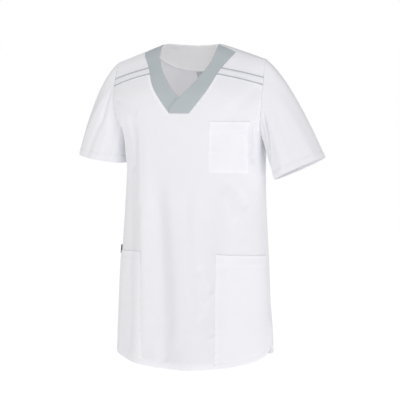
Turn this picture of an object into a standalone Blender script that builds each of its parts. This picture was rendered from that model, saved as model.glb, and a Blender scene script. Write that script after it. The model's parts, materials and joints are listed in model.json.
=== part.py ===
"""Scrub top: a V-neck tunic with a contrast crossover band, patch pockets and short set-in sleeves.

Metres, +Z up, +X to the viewer's right (the wearer's left), and the front faces -Y. The origin lies
between the shoulders, where the wearer holds the garment up.

Front and back are cut on one chart, as a poncho would be: s runs round the body from the centre line,
and t runs down from the shoulder ridge, positive on the front and negative on the back. torso() lays
the chart on the hollow form. Every flat piece is a region of one triangulated chart, so pieces meet at
the same points, and what lies on a panel is made from that panel's points, moved out.
"""
import math

import bpy
import numpy as np
from mathutils import Vector
from mathutils.geometry import delaunay_2d_cdt

# Cloth
WALL = 0.0012               # thickness of one piece of cloth
SEAM_GAP = 0.0003           # between pieces at a seam, and between layers
LAYER = WALL + SEAM_GAP     # what one piece is moved out to lie on another

# Whole garment
NECK_Z = 0.020              # height of the shoulder ridge at the neck
NECK_HALF = 0.068           # half width of the neck opening on the ridge
SHOULDER_HALF = 0.180       # from the centre to the armhole, along the ridge
SHOULDER_DROP_PLUS_X = 0.0355   # how far the ridge falls from neck to armhole, the +X side
SHOULDER_DROP_MINUS_X = 0.0430  # and the other side, which hangs a little lower
NECK_ROUND = 0.007          # softens the bend of the ridge at the neck
SLOPE_ENDS = 0.30           # depth at which the shoulder slope has died out
UNDERARM_DROP = 0.2125      # from the neck's height down to the underarm
HEM_Z = -0.725              # centre of the hem
HEM_RISE = 0.038            # rise of the hem's long curve from the centre to the side
HEM_POWER = 1.8             # how late that curve rises
CORNER_RISE = 0.018         # height of the rounded corner at each side vent
CORNER_FROM = 0.72          # share of the half panel where the corner's round starts
VENT_Z = -0.6275            # top of the side vent
VENT_SPREAD = 0.004         # how far each vent edge stands back from the side line
SHOULDER_SEAM = 0.012       # the back comes this far over the ridge to the front

# Trim and pockets
PIPING_WIDTH = 0.0026
PIPING_CROWN = 0.0009       # the piping's cord stands this much above the cloth
POCKET_TOP_Z = -0.456
POCKET_FALL = 0.006         # the pocket's top falls this much towards the side
POCKET_INNER_X = {"left": 0.0885, "right": 0.1000}   # the narrower one lies at -X
POCKET_HEM_X = {"left": 0.0880, "right": 0.0940}     # the inner edge again, at the hem
CHEST_POCKET = {"x_inner": 0.0754, "x_outer": 0.161, "z_top": -0.154, "z_bottom": -0.270,
                "spread": 0.008}
TAB = {"reach": 0.0105, "thick": 0.0014, "z_top": -0.4510, "z_bottom": -0.4715}
LABEL = {"half_width": 0.022, "z_top": -0.0400, "z_bottom": -0.0550}

# Mesh
EDGE_STEP = 0.012           # longest step along a cut edge
BAND_STEP = 0.009           # the same across the band's bottom
TURN_LENGTH = 0.12          # length that one radian round the form counts for along an armhole
SEAM_POINT_CLEAR = 0.0035   # armhole points stay this far from where a piping ends
GRID_S = 0.0155
GRID_T = 0.0290
RIDGE_ROWS = (-0.030, -0.014, 0.0, 0.026)
GRID_CLEAR = 0.0058         # grid points stay this far from a cut edge
SLEEVE_ROWS = 9
CAP_PULL = 0.75             # how far a sleeve keeps its direction at the armhole, and at the hem
HEM_PULL = 0.80

WHITE = (0.90, 0.90, 0.93)
GREY_BLUE = (0.47, 0.53, 0.56)
NAVY = (0.05, 0.07, 0.13)

# Centre line of the front and of the back: drop below the neck's height, depth from the ridge plane.
FRONT_LINE = (
    # drop, depth
    (0.000, 0.0000),
    (0.002, 0.0090),
    (0.010, 0.0205),
    (0.040, 0.0430),
    (0.070, 0.0630),
    (0.100, 0.0775),
    (0.130, 0.0845),
    (0.165, 0.0875),
    (0.220, 0.0885),
    (0.320, 0.0870),
    (0.430, 0.0865),
    (0.550, 0.0915),
    (0.650, 0.0960),
    (0.780, 0.1000),
)
BACK_LINE = (
    (0.000, 0.0000),
    (-0.001, 0.0120),
    (-0.0005, 0.0280),
    (0.005, 0.0460),
    (0.027, 0.0720),
    (0.070, 0.0970),
    (0.110, 0.1140),
    (0.160, 0.1250),
    (0.220, 0.1290),
    (0.320, 0.1250),
    (0.430, 0.1210),
    (0.550, 0.1250),
    (0.650, 0.1300),
    (0.780, 0.1340),
)
# Sections of the hollow form: half width on each side, and how square it is (2 is an ellipse).
SECTIONS = (
    # drop, half width at +X, half width at -X, squareness
    (0.000, 0.194, 0.194, 2.6),
    (0.060, 0.195, 0.195, 2.6),
    (0.110, 0.1925, 0.1905, 2.6),
    (0.150, 0.1860, 0.1800, 2.6),
    (0.185, 0.1780, 0.1665, 2.55),
    (0.220, 0.1740, 0.1580, 2.5),
    (0.285, 0.1720, 0.1540, 2.5),
    (0.360, 0.1735, 0.1580, 2.5),
    (0.440, 0.1785, 0.1640, 2.45),
    (0.520, 0.1830, 0.1705, 2.4),
    (0.600, 0.1860, 0.1740, 2.4),
    (0.660, 0.1910, 0.1765, 2.4),
    (0.780, 0.1930, 0.1790, 2.4),
)
# Armhole seam: drop below the neck's height, direction round the section from the centre line.
ARMHOLE_FRONT = (
    # drop, degrees
    (0.000, 61.5),
    (0.040, 62.0),
    (0.090, 63.0),
    (0.135, 65.5),
    (0.172, 70.5),
    (0.198, 78.5),
    (UNDERARM_DROP, 90.0),
)
ARMHOLE_BACK = (
    (0.000, 61.5),
    (0.040, 62.0),
    (0.090, 63.0),
    (0.135, 65.5),
    (0.172, 70.5),
    (0.199, 79.0),
    (UNDERARM_DROP, 90.0),
)
# Contrast band: its outer edge, and the neck edge inside it, as seen from the front (x, z).
BAND_OUTER = (
    (0.1145, 0.0080),
    (0.1085, -0.0030),
    (0.1005, -0.0150),
    (0.0900, -0.0306),
    (0.0675, -0.0783),
    (0.0444, -0.1110),
    (0.0249, -0.1350),
)
NECK_EDGE = (
    (0.0675, 0.0080),
    (0.0655, -0.0060),
    (0.0600, -0.0220),
    (0.0316, -0.0655),
    (0.0087, -0.0927),
    (0.0000, -0.1010),
)
UNDER_BAND_END = 0.019      # the under band runs on beneath the other to this x at the bottom edge
BAND_LIFT = {"from_drop": 0.080, "full_at": 0.110}
BACK_NECK = (
    # x, t (negative: behind the ridge)
    (0.0680, 0.000),
    (0.0650, -0.014),
    (0.0530, -0.029),
    (0.0300, -0.038),
    (0.0000, -0.042),
)
FACING_EDGE = (
    # x, z of the half-moon's lower edge
    (0.1080, -0.0010),
    (0.0976, -0.0110),
    (0.0768, -0.0265),
    (0.0480, -0.0345),
    (0.0000, -0.0370),
)
# Piping: where each line starts under the band (x, z) and the drop at which it meets the armhole.
PIPING = {
    "upper": {"x": 0.0865, "z": -0.0310, "arm_drop": 0.0380, "bow": 0.0020},
    "lower": {"x": 0.0820, "z": -0.0445, "arm_drop": 0.0560, "bow": 0.0025},
}

# Largest folds: soft ridges and troughs between two places on the chart.
FOLDS = (
    # side, x0, z0, x1, z1, half width, height out of the cloth (negative is a trough)
    ("front", -0.056, -0.260, -0.020, -0.740, 0.024, -0.0060),
    ("front", -0.104, -0.120, -0.098, -0.740, 0.020, 0.0045),
    ("front", -0.136, -0.180, -0.142, -0.700, 0.018, -0.0030),
    ("front", 0.018, -0.330, 0.032, -0.740, 0.026, 0.0040),
    ("front", 0.062, -0.300, 0.072, -0.600, 0.022, -0.0035),
    ("front", 0.118, -0.270, 0.112, -0.460, 0.020, 0.0030),
    ("front", 0.140, -0.120, 0.086, -0.210, 0.018, -0.0025),
    ("back", -0.086, -0.200, -0.100, -0.740, 0.026, -0.0055),
    ("back", 0.078, -0.240, 0.060, -0.740, 0.024, -0.0060),
    ("back", -0.018, -0.280, 0.006, -0.740, 0.024, 0.0040),
    ("back", 0.136, -0.220, 0.128, -0.680, 0.020, 0.0040),
    ("back", -0.140, -0.220, -0.136, -0.700, 0.020, 0.0035),
)

# Sleeves: hem ring of each, as the sleeve hangs.
SLEEVES = {
    # centre x, centre y, centre z, half width across, half width front to back, tilt of the hem
    "left": {"side": 1, "centre": (0.2595, 0.010, -0.2615), "across": 0.0635, "deep": 0.0600,
             "tilt": 25.0, "cap_fall": 38.0},
    "right": {"side": -1, "centre": (0.2255, 0.012, -0.2475), "across": 0.0560, "deep": 0.0670,
              "tilt": 10.5, "cap_fall": 34.0},
}


# ---------------------------------------------------------------- curves

def smooth(knots, values):
    """A smooth curve through the values, as a function of the knots' parameter."""
    knots = np.array(knots, float)
    values = np.array(values, float)
    slopes = np.gradient(values, knots, axis=0)

    def at(place):
        place = np.clip(place, knots[0], knots[-1])
        span = np.clip(np.searchsorted(knots, place, side="right") - 1, 0, len(knots) - 2)
        step = knots[span + 1] - knots[span]
        part = (place - knots[span]) / step
        if values.ndim > 1:
            step = step[..., None]
            part = part[..., None]
        start = (1 + 2 * part) * (1 - part) ** 2 * values[span]
        leave = part * (1 - part) ** 2 * step * slopes[span]
        end = part * part * (3 - 2 * part) * values[span + 1]
        arrive = part * part * (part - 1) * step * slopes[span + 1]
        return start + leave + end + arrive

    return at


def chords(points):
    """Distance along a line of points, from its start to each of them."""
    return np.concatenate([[0.0], np.cumsum(np.linalg.norm(np.diff(points, axis=0), axis=1))])


def smooth_line(points, step=EDGE_STEP):
    """A smooth curve through the points, with a point at about every step."""
    points = np.array(points, float)
    along = chords(points)
    count = max(2, math.ceil(along[-1] / step) + 1)
    return smooth(along, points)(np.linspace(0.0, along[-1], count))


def straight(start, end, step=EDGE_STEP):
    count = max(2, math.ceil(math.dist(start, end) / step) + 1)
    return np.linspace(start, end, count)


def ease(value):
    """0 below 0, 1 above 1, and a soft S between."""
    value = np.clip(value, 0.0, 1.0)
    return value * value * (3 - 2 * value)


def mirrored(points):
    """The same line on the other half of the chart, or of the front view."""
    return np.array(points, float) * (-1, 1)


# ---------------------------------------------------------------- the hollow form

FRONT_AT = smooth(chords(np.array(FRONT_LINE)), FRONT_LINE)
BACK_AT = smooth(chords(np.array(BACK_LINE)), BACK_LINE)
SECTION_AT = smooth([row[0] for row in SECTIONS], [row[1:] for row in SECTIONS])


def section_point(direction, squareness):
    """x and y, as shares of the half width and the depth, in a direction from the centre line."""
    across = np.sin(direction)
    along = np.cos(direction)
    radius = (np.abs(across) ** squareness + np.abs(along) ** squareness) ** (-1 / squareness)
    return radius * across, radius * along


# s is the length round this section, at chest height, so the chart is close to true size.
CHEST = {"half_width": 0.172, "depth": 0.100, "squareness": 2.5}
DIRECTIONS = np.linspace(0.0, math.pi / 2, 3000)
CHEST_X, CHEST_Y = section_point(DIRECTIONS, CHEST["squareness"])
ROUND_LENGTH = chords(np.stack([CHEST_X * CHEST["half_width"], CHEST_Y * CHEST["depth"]], axis=1))
SIDE_S = ROUND_LENGTH[-1]   # the side seam


def direction_at(s):
    """Direction round the section, carried on a little past the side seam."""
    past = np.maximum(np.abs(s) - SIDE_S, 0.0) / CHEST["depth"]
    return np.sign(s) * (np.interp(np.abs(s), ROUND_LENGTH, DIRECTIONS) + past)


def plain_torso(s, t):
    """The form without its folds: world points for chart points."""
    s = np.asarray(s, float)
    t = np.asarray(t, float)
    line = np.where((t >= 0)[..., None], FRONT_AT(np.abs(t)), BACK_AT(np.abs(t)))
    drop = line[..., 0]
    depth = line[..., 1]
    section = SECTION_AT(drop)
    across, along = section_point(direction_at(s), section[..., 2])
    x = np.where(np.asarray(s) >= 0, section[..., 0], section[..., 1]) * across
    y = np.where(t >= 0, -1.0, 1.0) * depth * along
    past_neck = np.abs(x) - NECK_HALF
    ramp = 0.5 * (past_neck + np.sqrt(past_neck ** 2 + NECK_ROUND ** 2))
    shoulder_drop = np.where(x >= 0, SHOULDER_DROP_PLUS_X, SHOULDER_DROP_MINUS_X)
    slope = shoulder_drop / (SHOULDER_HALF - NECK_HALF)
    z = NECK_Z - drop - ramp * slope * (1 - ease(drop / SLOPE_ENDS))
    return np.stack([x, y, z], axis=-1)


def normals(surface, s, t, reach=0.0004):
    """Outward normals of a chart surface."""
    along_s = surface(s + reach, t) - surface(s - reach, t)
    along_t = surface(s, t + reach) - surface(s, t - reach)
    outward = np.cross(along_t, along_s)
    return outward / np.linalg.norm(outward, axis=-1, keepdims=True)


def t_at_height(s, z, front=True):
    """Chart t of the points at height z on the lines s."""
    s, z = np.broadcast_arrays(np.asarray(s, float), np.asarray(z, float))
    low = np.zeros(s.shape)
    high = np.full(s.shape, 0.85)
    sign = 1.0 if front else -1.0
    for _ in range(40):
        middle = (low + high) / 2
        too_high = plain_torso(s, sign * middle)[..., 2] > z
        low = np.where(too_high, middle, low)
        high = np.where(too_high, high, middle)
    return sign * (low + high) / 2


def on_chart(points, front=True):
    """Chart points for places given as seen from the front: x and z."""
    points = np.array(points, float)
    x = points[:, 0]
    low = np.zeros(len(x))
    high = np.full(len(x), SIDE_S)
    for _ in range(40):
        middle = (low + high) / 2
        t = t_at_height(middle * np.sign(x), points[:, 1], front)
        inside = np.abs(plain_torso(middle * np.sign(x), t)[:, 0]) < np.abs(x)
        low = np.where(inside, middle, low)
        high = np.where(inside, high, middle)
    s = (low + high) / 2 * np.sign(x)
    return np.stack([s, t_at_height(s, points[:, 1], front)], axis=1)


def s_at_ridge(x):
    """Chart s of a place on the shoulder ridge."""
    places = np.linspace(0.0, SIDE_S, 2000)
    return np.interp(x, plain_torso(places, np.zeros(2000))[:, 0], places)


def fold_lines():
    """Each fold's two ends on the chart, with its half width and height."""
    lines = []
    for side, x0, z0, x1, z1, half_width, height in FOLDS:
        ends = on_chart([(x0, z0), (x1, z1)], side == "front")
        lines.append((ends[0], ends[1], half_width, height))
    return lines


FOLD_LINES = fold_lines()


def fold_height(s, t):
    """How far the folds lift the cloth out of the plain form."""
    total = np.zeros(np.shape(s))
    for start, end, half_width, height in FOLD_LINES:
        run = end - start
        length = math.hypot(*run)
        along = ((s - start[0]) * run[0] + (t - start[1]) * run[1]) / length ** 2
        aside = ((s - start[0]) * run[1] - (t - start[1]) * run[0]) / length
        fade = ease(along / 0.25) * ease((1.12 - along) / 0.12)
        total = total + height * fade * np.exp(-(aside / half_width) ** 2)
    return total


def torso(s, t):
    """World points for chart points, with the largest folds."""
    s = np.asarray(s, float)
    t = np.asarray(t, float)
    lift = fold_height(s, t)[..., None]
    return plain_torso(s, t) + normals(plain_torso, s, t) * lift


# ---------------------------------------------------------------- lines of the cut

def armhole(front, extra_drops=()):
    """The armhole seam of the viewer's right side, from the ridge down to the underarm."""
    table = ARMHOLE_FRONT if front else ARMHOLE_BACK
    rows = np.array([(drop, math.radians(degrees)) for drop, degrees in table])
    # the seam runs level where it meets the side seam, so the curve is carried on past it
    beyond = (2 * rows[-2] - rows[-1]) * (1, 0) + (0, math.pi - rows[-2][1])
    beyond[0] = rows[-2][0]
    path = np.vstack([rows, [beyond]])
    scaled = path * (1, TURN_LENGTH)
    along = chords(scaled)
    curve = smooth(along, path)
    places = np.linspace(0.0, along[-2], 19)
    if extra_drops:
        dense = np.linspace(0.0, along[3], 2000)
        added = np.interp(extra_drops, curve(dense)[:, 0], dense)
        kept = [place for place in places if np.abs(added - place).min() > SEAM_POINT_CLEAR or place == 0.0]
        places = np.sort(np.concatenate([kept, added]))
    points = curve(places)
    s = np.interp(points[:, 1], DIRECTIONS, ROUND_LENGTH)
    lookup = np.linspace(0.0, 0.6, 4000)
    drops = (FRONT_AT if front else BACK_AT)(lookup)[:, 0]
    t = np.interp(points[:, 0], drops, lookup)
    s[-1] = SIDE_S
    return np.stack([s, t if front else -t], axis=1)


def side_and_hem(front):
    """The viewer's right edge below the armhole: side seam, vent, corner and hem to the centre."""
    under_z = plain_torso(SIDE_S, armhole(front)[-1, 1])[2]
    heights = np.concatenate([
        np.linspace(under_z, POCKET_TOP_Z, 11),
        np.linspace(POCKET_TOP_Z, VENT_Z, 8)[1:],
    ])
    seam = np.stack([np.full(len(heights), SIDE_S), t_at_height(SIDE_S, heights, front)], axis=1)
    vent_low_z = HEM_Z + HEM_RISE + CORNER_RISE
    turn = np.linspace(0.0, 1.0, 5)[1:]
    vent_s = SIDE_S - VENT_SPREAD * turn
    vent_z = VENT_Z + (vent_low_z - VENT_Z) * turn
    vent = np.stack([vent_s, t_at_height(vent_s, vent_z, front)], axis=1)
    corner_s = SIDE_S - VENT_SPREAD
    start_s = CORNER_FROM * corner_s
    angles = np.linspace(0.0, math.pi / 2, 10)[1:]
    round_s = start_s + (corner_s - start_s) * np.cos(angles)
    flat_s = np.linspace(start_s, 0.0, 12)[1:]
    hem_s = np.concatenate([round_s, flat_s])
    rise = CORNER_RISE * (1 - np.concatenate([np.sin(angles), np.ones(len(flat_s))]))
    hem_z = HEM_Z + HEM_RISE * (hem_s / corner_s) ** HEM_POWER + rise
    hem = np.stack([hem_s, t_at_height(hem_s, hem_z, front)], axis=1)
    return seam, vent, hem


def closed_by_mirror(half):
    """A closed outline from its viewer's right half, which starts and ends on the centre line."""
    other = mirrored(half)[::-1]
    return np.vstack([half, other[1:-1]])


PIPING_DROPS = []
for piping in PIPING.values():
    PIPING_DROPS += [piping["arm_drop"], piping["arm_drop"] + PIPING_WIDTH]
ARM_FRONT = armhole(True, tuple(PIPING_DROPS))
ARM_BACK = armhole(False)
FRONT_SIDE, FRONT_VENT, FRONT_HEM = side_and_hem(True)
BACK_SIDE, BACK_VENT, BACK_HEM = side_and_hem(False)


def cloth_outline():
    """Front and back together, with the shoulders uncut."""
    half = np.vstack([
        FRONT_HEM[::-1], FRONT_VENT[::-1], FRONT_SIDE[::-1], ARM_FRONT[::-1][1:],
        ARM_BACK[1:], BACK_SIDE[1:], BACK_VENT, BACK_HEM,
    ])
    return closed_by_mirror(half)


def neck_outline():
    """The neck opening: the band's inner edge in front, and the back neck."""
    front = on_chart(smooth_line(NECK_EDGE))
    front[-1, 0] = 0.0
    rows = [(s_at_ridge(x), t) for x, t in BACK_NECK]
    back = smooth_line(rows)
    return closed_by_mirror(np.vstack([front[::-1], back]))


def band_edge():
    """The band's outer edge on the viewer's right, from the shoulder seam to the bottom corner."""
    return on_chart(smooth_line(BAND_OUTER))


def under_shoulder_seam(points):
    """The line cut off at the shoulder seam, where the back begins."""
    points = np.array(points, float)
    keep = points[:, 1] > SHOULDER_SEAM
    first = int(np.argmax(keep))
    if first == 0:
        return points
    before, after = points[first - 1], points[first]
    share = (SHOULDER_SEAM - before[1]) / (after[1] - before[1])
    cut = before + (after - before) * share
    return np.vstack([[cut], points[first:]])


def band_outlines():
    """The over band, the under band, and the whole that the front is cut away for."""
    outer = under_shoulder_seam(band_edge())
    inner = on_chart(smooth_line(NECK_EDGE))
    inner[-1, 0] = 0.0
    inner = under_shoulder_seam(inner)
    bottom = straight(outer[-1], mirrored(outer[-1]), BAND_STEP)
    crossing = straight(inner[-1], mirrored(outer[-1]), BAND_STEP)
    over = np.vstack([outer, bottom[1:], crossing[::-1][1:], inner[::-1][1:]])
    under_end = np.array([on_chart([(UNDER_BAND_END, BAND_OUTER[-1][1])])[0][0], outer[-1, 1]])
    under_bottom = bottom[::-1][bottom[::-1][:, 0] < under_end[0] - 0.002]
    hidden = straight(under_end, inner[-1], BAND_STEP)
    under = np.vstack([mirrored(outer), under_bottom[1:], hidden, mirrored(inner)[::-1][1:]])
    whole = np.vstack([outer, bottom[1:], mirrored(outer)[::-1][1:]])
    return over, under, whole


def piping_edges():
    """The two edges of each piping on the viewer's right, from inside the band to the armhole."""
    edges = {}
    for name, piping in PIPING.items():
        pair = []
        for below in (0.0, PIPING_WIDTH):
            start = on_chart([(piping["x"], piping["z"] - below)])[0]
            drop = piping["arm_drop"] + below
            lookup = np.linspace(0.0, 0.2, 4000)
            t_end = np.interp(drop, FRONT_AT(lookup)[:, 0], lookup)
            end = ARM_FRONT[np.argmin(np.abs(ARM_FRONT[:, 1] - t_end))]
            middle = (start + end) / 2 - (0.0, piping["bow"])
            pair.append(smooth_line([start, middle, end]))
        edges[name] = pair
    return edges


def box_outline(s0, s1, z_top, z_bottom, front=True, spread=0.0):
    """A patch with level ends, which may be wider at the bottom by the spread."""
    count = max(2, math.ceil(abs(s1 - s0) / GRID_S))
    top_s = np.linspace(s0, s1, count)
    bottom_s = np.linspace(s0, s1 + spread, count)
    top = np.stack([top_s, t_at_height(top_s, z_top, front)], axis=1)
    bottom = np.stack([bottom_s, t_at_height(bottom_s, z_bottom, front)], axis=1)[::-1]
    right = np.linspace(top[-1], bottom[0], 5)[1:-1]
    left = np.linspace(bottom[-1], top[0], 5)[1:-1]
    return np.vstack([top, right, bottom, left])


CLOTH = cloth_outline()
NECK = neck_outline()
OVER, UNDER, WHOLE_BAND = band_outlines()
PIPING_EDGES = piping_edges()


def pocket_lines(hand):
    """A lower pocket's top edge and inner edge, drawn on the viewer's right half of the chart."""
    top_s = on_chart([(POCKET_INNER_X[hand], POCKET_TOP_Z)])[0, 0]
    hem_s = on_chart([(POCKET_HEM_X[hand], HEM_Z)])[0, 0]
    top = np.linspace(top_s, SIDE_S, 10)
    fall = POCKET_FALL * (top - top_s) / (SIDE_S - top_s)
    line = np.stack([top, t_at_height(top, POCKET_TOP_Z - fall)], axis=1)
    below_hem = FRONT_HEM[:, 1].max() + 0.01
    return line, straight(line[0], (hem_s, below_hem), GRID_T)


POCKET_LINES = {hand: pocket_lines(hand) for hand in ("left", "right")}


def chest_pocket_outline():
    corners = on_chart([(CHEST_POCKET["x_inner"], CHEST_POCKET["z_top"]),
                        (CHEST_POCKET["x_outer"], CHEST_POCKET["z_top"])])
    return box_outline(corners[0, 0], corners[1, 0], CHEST_POCKET["z_top"],
                       CHEST_POCKET["z_bottom"], spread=CHEST_POCKET["spread"])


def facing_outline():
    """The half-moon inside the back neck, which ends at the shoulder ridge."""
    lower = on_chart(smooth_line(FACING_EDGE), front=False)
    lower[-1, 0] = 0.0
    ridge = np.array([(lower[0, 0], 0.0)])
    edge = smooth_line([(s_at_ridge(x), t) for x, t in BACK_NECK])
    half = np.vstack([lower[::-1], ridge, edge])
    return closed_by_mirror(half)


def label_outline():
    s = on_chart([(LABEL["half_width"], LABEL["z_top"])], front=False)[0, 0]
    return box_outline(-s, s, LABEL["z_top"], LABEL["z_bottom"], front=False)


CHEST_OUTLINE = chest_pocket_outline()
FACING = facing_outline()
LABEL_OUTLINE = label_outline()


# ---------------------------------------------------------------- cutting the chart

def inside(outline, points):
    """Which points lie inside a closed outline."""
    ahead = np.roll(outline, -1, axis=0)
    x = points[:, :1]
    y = points[:, 1:]
    spans = (outline[:, 1] > y) != (ahead[:, 1] > y)
    rise = ahead[:, 1] - outline[:, 1]
    rise = np.where(rise == 0, 1e-12, rise)
    cross = outline[:, 0] + (y - outline[:, 1]) * (ahead[:, 0] - outline[:, 0]) / rise
    return (spans & (x < cross)).sum(axis=1) % 2 == 1


def chart_lines():
    """Every line the chart is cut or marked along, as point arrays; closed ones end where they start."""
    closed = [CLOTH, NECK, OVER, UNDER, WHOLE_BAND, CHEST_OUTLINE, FACING, LABEL_OUTLINE]
    lines = [np.vstack([outline, outline[:1]]) for outline in closed]
    tip_s = ARM_FRONT[0, 0]
    lines += POCKET_LINES["left"]
    lines += [mirrored(line) for line in POCKET_LINES["right"]]
    for upper_edge, lower_edge in PIPING_EDGES.values():
        for line in (upper_edge, (upper_edge + lower_edge) / 2, lower_edge):
            lines += [line, mirrored(line)]
    lines.append(straight((-tip_s - 0.02, SHOULDER_SEAM), (tip_s + 0.02, SHOULDER_SEAM)))
    return lines


def grid_points(starts, ends):
    """Points inside the panels, clear of every line."""
    columns = np.arange(-math.floor(SIDE_S / GRID_S), math.floor(SIDE_S / GRID_S) + 1) * GRID_S
    top_rows = np.array(RIDGE_ROWS)
    down = np.arange(2, 28) * GRID_T
    rows = np.concatenate([-down[::-1] + 0.006, top_rows, down - 0.006])
    grid = np.array([(column, row) for row in rows for column in columns])
    run = ends - starts
    length2 = (run ** 2).sum(axis=1)
    keep = []
    for point in grid:
        along = np.clip(((point - starts) * run).sum(axis=1) / length2, 0.0, 1.0)
        gap = np.linalg.norm(starts + run * along[:, None] - point, axis=1).min()
        keep.append(gap > GRID_CLEAR)
    return grid[np.array(keep)]


def triangulated_chart():
    points = []
    edges = []
    for line in chart_lines():
        first = len(points)
        points.extend(line)
        edges.extend((first + i, first + i + 1) for i in range(len(line) - 1))
    points = np.array(points)
    starts = points[[a for a, _ in edges]]
    ends = points[[b for _, b in edges]]
    real = np.linalg.norm(ends - starts, axis=1) > 1e-9
    edges = [edge for edge, is_real in zip(edges, real) if is_real]
    grid = grid_points(starts[real], ends[real])
    everything = [Vector(point) for point in np.vstack([points, grid])]
    found, _, faces, _, _, _ = delaunay_2d_cdt(everything, edges, [], 0, 1e-5)
    chart = np.array([tuple(point) for point in found])
    triangles = np.array([face[:] for face in faces])
    a, b, c = chart[triangles[:, 0]], chart[triangles[:, 1]], chart[triangles[:, 2]]
    area = (b - a)[:, 0] * (c - a)[:, 1] - (b - a)[:, 1] * (c - a)[:, 0]
    triangles[area < 0] = triangles[area < 0][:, ::-1]
    return chart, triangles


POINTS, TRIANGLES = triangulated_chart()
CENTRES = POINTS[TRIANGLES].mean(axis=1)
IN_CLOTH = inside(CLOTH, CENTRES) & ~inside(NECK, CENTRES)
ON_FRONT = IN_CLOTH & (CENTRES[:, 1] > SHOULDER_SEAM)
ON_BACK = IN_CLOTH & ~ON_FRONT
IN_BAND = inside(WHOLE_BAND, CENTRES)


def below(line):
    """Which triangles lie below a line that runs outwards on each side of the chart."""
    return CENTRES[:, 1] > np.interp(np.abs(CENTRES[:, 0]), line[:, 0], line[:, 1])


# ---------------------------------------------------------------- solids

def finish(name, points, faces, colour, roughness=0.85):
    """A named object with its own plain material."""
    mesh = bpy.data.meshes.new(name)
    mesh.from_pydata([tuple(point) for point in points], [], [tuple(map(int, face)) for face in faces])
    mesh.validate()
    mesh.shade_smooth()
    mesh.set_sharp_from_angle(angle=math.radians(50))
    material = bpy.data.materials.new(name)
    material.use_nodes = True
    shader = material.node_tree.nodes["Principled BSDF"]
    shader.inputs["Base Color"].default_value = (*colour, 1.0)
    shader.inputs["Roughness"].default_value = roughness
    shader.inputs["Metallic"].default_value = 0.0
    mesh.materials.append(material)
    made = bpy.data.objects.new(name, mesh)
    bpy.context.scene.collection.objects.link(made)
    return made


def rim_edges(triangles):
    """The directed edges that only one triangle has."""
    directed = np.vstack([triangles[:, [0, 1]], triangles[:, [1, 2]], triangles[:, [2, 0]]])
    known = {tuple(edge) for edge in directed.tolist()}
    return [edge for edge in sorted(known) if (edge[1], edge[0]) not in known]


def drawn_in(flat, rim, distance):
    """The flat shape with its edges moved in by a distance, mitred at the corners."""
    before = {b: a for a, b in rim}
    after = dict(rim)
    moved = flat.copy()
    for vertex, ahead in after.items():
        into = flat[vertex] - flat[before[vertex]]
        out = flat[ahead] - flat[vertex]
        first = np.array((-into[1], into[0])) / np.linalg.norm(into)
        second = np.array((-out[1], out[0])) / np.linalg.norm(out)
        moved[vertex] += distance * (first + second) / max(1 + first @ second, 0.35)
    return moved


def wall(name, picked, colour, low=-WALL, high=0.0, lift=None, crown=None):
    """Cloth over the picked triangles of the chart, from low to high out of the form.

    lift raises the whole wall and crown raises its outer side only, each by place on the chart.
    """
    triangles = TRIANGLES[picked]
    used, local = np.unique(triangles, return_inverse=True)
    local = local.reshape(-1, 3)
    rim = rim_edges(local)
    s, t = drawn_in(POINTS[used], rim, SEAM_GAP / 2).T
    raised = lift(s, t) if lift else np.zeros(len(s))
    crowned = crown(s, t) if crown else np.zeros(len(s))
    surface = torso(s, t)
    outward = normals(torso, s, t)
    outer = surface + outward * (high + raised + crowned)[:, None]
    inner = surface + outward * (low + raised)[:, None]
    count = len(used)
    faces = [face[::-1] for face in local]
    faces += [face + count for face in local]
    for a, b in rim:
        faces += [(a, b, b + count), (a, b + count, a + count)]
    return finish(name, np.vstack([outer, inner]), faces, colour)


def band_lift(s, t):
    """The over band climbs onto the other towards the point of the V."""
    drop = FRONT_AT(np.abs(t))[:, 0]
    share = (drop - BAND_LIFT["from_drop"]) / (BAND_LIFT["full_at"] - BAND_LIFT["from_drop"])
    return LAYER * ease(share)


def piping_crown(edges):
    """A round back for a piping between its two edges."""
    upper, lower = edges

    def height(s, t):
        top = np.interp(np.abs(s), upper[:, 0], upper[:, 1])
        bottom = np.interp(np.abs(s), lower[:, 0], lower[:, 1])
        share = np.clip((t - top) / (bottom - top), 0.0, 1.0)
        return PIPING_CROWN * 4 * share * (1 - share)

    return height


def make_front():
    upper, lower = PIPING_EDGES["upper"], PIPING_EDGES["lower"]
    shoulder = ON_FRONT & ~IN_BAND
    wall("front_body", shoulder & below(lower[1]), WHITE)
    for hand, on_side in (("left", CENTRES[:, 0] > 0), ("right", CENTRES[:, 0] < 0)):
        half = shoulder & on_side
        wall(f"yoke_upper_{hand}", half & ~below(upper[0]), WHITE)
        wall(f"yoke_strip_{hand}", half & below(upper[1]) & ~below(lower[0]), WHITE)
        for name, edges in (("upper", upper), ("lower", lower)):
            between = half & below(edges[0]) & ~below(edges[1])
            wall(f"piping_{name}_{hand}", between, GREY_BLUE, crown=piping_crown(edges))


def make_bands():
    wall("neckband_over", inside(OVER, CENTRES), GREY_BLUE, lift=band_lift)
    wall("neckband_under", inside(UNDER, CENTRES), GREY_BLUE)


def make_back():
    wall("back_body", ON_BACK, WHITE)
    lining = {"low": -WALL - LAYER, "high": -LAYER}
    wall("back_neck_facing", ON_BACK & inside(FACING, CENTRES), WHITE, **lining)
    wall("neck_label", inside(LABEL_OUTLINE, CENTRES), NAVY, **lining)


def make_pockets():
    on_panel = {"low": SEAM_GAP, "high": LAYER}
    wall("chest_pocket", inside(CHEST_OUTLINE, CENTRES), WHITE, **on_panel)
    for hand, sign in (("left", 1), ("right", -1)):
        top, inner = POCKET_LINES[hand]
        inner_s = np.interp(CENTRES[:, 1], inner[:, 1], inner[:, 0])
        patch = ON_FRONT & (sign * CENTRES[:, 0] > inner_s) & below(top)
        wall(f"pocket_lower_{hand}", patch, WHITE, **on_panel)


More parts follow.
